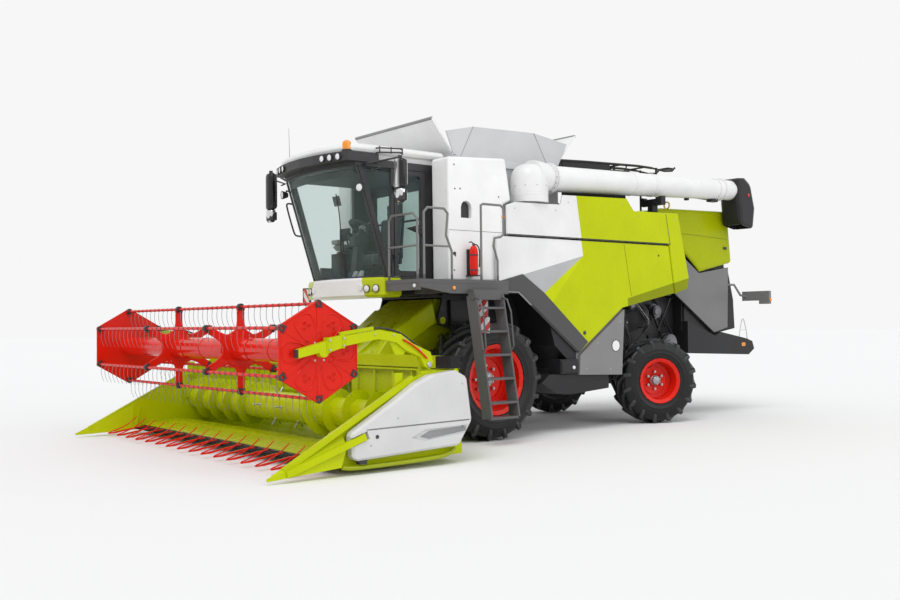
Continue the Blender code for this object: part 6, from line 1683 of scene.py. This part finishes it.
def wheel_faces(red, nuts, hub, rim_radius, half_width, dish, studs, sign):
    """Pressed rings on the rim's disc, its nuts, and the hub behind or before it."""
    def ring(group, profile, steps=64):
        group.lathe([(r, sign * y) for r, y in profile], (0, 0, 0), ACROSS, steps)

    for share, wide in ((0.80, 0.014), (0.64, 0.010)):
        r = rim_radius * share
        face = dish + 0.010
        ring(
            red,
            [
                (r - wide, face - 0.02), (r + wide, face - 0.02), (r + wide * 0.6, face + 0.024),
                (r - wide * 0.6, face + 0.024),
            ],
        )
    lip = rim_radius - 0.005
    half = 0.86 * half_width
    ring(
        red,
        [
            (lip - 0.022, half - 0.045), (lip - 0.030, half - 0.030), (lip - 0.022, half - 0.012),
            (lip - 0.010, half - 0.020),
        ],
    )
    for turn in turns(studs):
        x, z = rim_radius * 0.40 * math.sin(turn), rim_radius * 0.40 * math.cos(turn)
        low, high = sorted((sign * (dish + 0.012), sign * (dish + 0.050)))
        nuts.lathe(stud(low, high, 0.021), (x, 0, z), ACROSS, 6)
        low, high = sorted((sign * (dish + 0.012), sign * (dish + 0.064)))
        nuts.lathe(stud(low, high, 0.010), (x, 0, z), ACROSS, 10)
    core = rim_radius * 0.245
    cap = [
        (core * 0.82, dish + 0.060), (core * 0.80, dish + 0.100), (core * 0.55, dish + 0.115),
        (AXIS, dish + 0.118),
    ]
    ring(hub, [(AXIS, dish), (core, dish), (core, dish + 0.045), *cap], 48)
    for turn in turns(6):
        x, z = core * 0.68 * math.sin(turn), core * 0.68 * math.cos(turn)
        low, high = sorted((sign * (dish + 0.098), sign * (dish + 0.118)))
        nuts.lathe(stud(low, high, 0.010), (x, 0, z), ACROSS, 6)


# Each wheel's radius, half width, rim radius, lugs in a row, their slant in degrees, depth of its disc,
# wheel bolts, and where its centre stands.
WHEELS = {
    "front": (0.8185, 0.31, 0.462, 18, 24, 0.02, 8, (0, 1.24, 0.8188111)),
    "rear": (0.6584, 0.22, 0.335, 16, 26, 0.0, 6, (-3.555, 1.255, 0.6586976)),
}
PIN_Y = 1.02
STEERED = math.radians(-20)


def make_wheel_pieces():
    """Tyre, lugs, rim rings, nuts and hub of each wheel, with the rear ones steered as in the photograph."""
    for side, sign in (("left", 1), ("right", -1)):
        for end, (radius, half, rim, count, slant, dish, studs, centre) in WHEELS.items():
            shape, lugs, red, nuts, hub = shapes(5)
            tread(shape, lugs, radius, half, rim, count, math.radians(slant))
            wheel_faces(red, nuts, hub, rim, half, dish, studs, sign)
            place = Matrix.Translation((centre[0], sign * centre[1], centre[2]))
            if end == "rear":
                pin = Matrix.Translation((centre[0], sign * PIN_Y, 0))
                place = pin @ Matrix.Rotation(STEERED, 4, "Z") @ pin.inverted() @ place
            body = f"{end}_wheel_{side}"
            shown = piece(f"{end}_tread_{side}", shape.moved(place), tyre_rubber, body, smooth=30)
            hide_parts(f"{end}_tyre_{side}")
            # The lugs' lighter rubber is a painted highlight.
            piece(f"{end}_lugs_{side}", lugs.moved(place), lug_rubber_painted_highlight, body, smooth=40)
            piece(f"{end}_rim_rings_{side}", red.moved(place), red_paint, body)
            piece(f"{end}_wheel_nuts_{side}", nuts.moved(place), plain_steel, body)
            piece(f"{end}_hub_{side}", hub.moved(place), hub_steel, body)


def make_chopper():
    """Dark housing of the chopper between the rear walls, and the inside walls that close the view."""
    walls, tank = shapes(2)
    outline = [
        (-4.55, 1.42), (-4.55, 2.50), (-5.80, 2.50), (-5.95, 1.95), (-5.98, 1.45), (-5.40, 1.36),
        (-4.85, 1.36),
    ]
    walls.slab(outline, -0.93, 0.93)
    walls.slab([(-4.45, 2.45), (-4.45, 2.85), (-5.66, 2.85), (-5.68, 2.45)], -0.95, 0.95)
    low = [(-0.93, 0.72), (-1.10, 0.84), (-2.30, 0.84), (-2.30, 0.60), (-1.50, 0.54), (-1.22, 0.56)]
    tank.slab(low, 1.02, 1.40).both_sides()
    piece("chopper_housing", walls, black_paint, bevel=0.01)
    piece("side_tanks", tank, black_paint, bevel=0.012)


make_unloading_tube()
make_wheel_pieces()
make_tank_details()
make_engine_details()
make_chopper()
make_auger()
make_side_details()
make_extinguisher()
make_boards()
make_rear_details()
make_drives()

bpy.context.scene.view_settings.view_transform = "Standard"
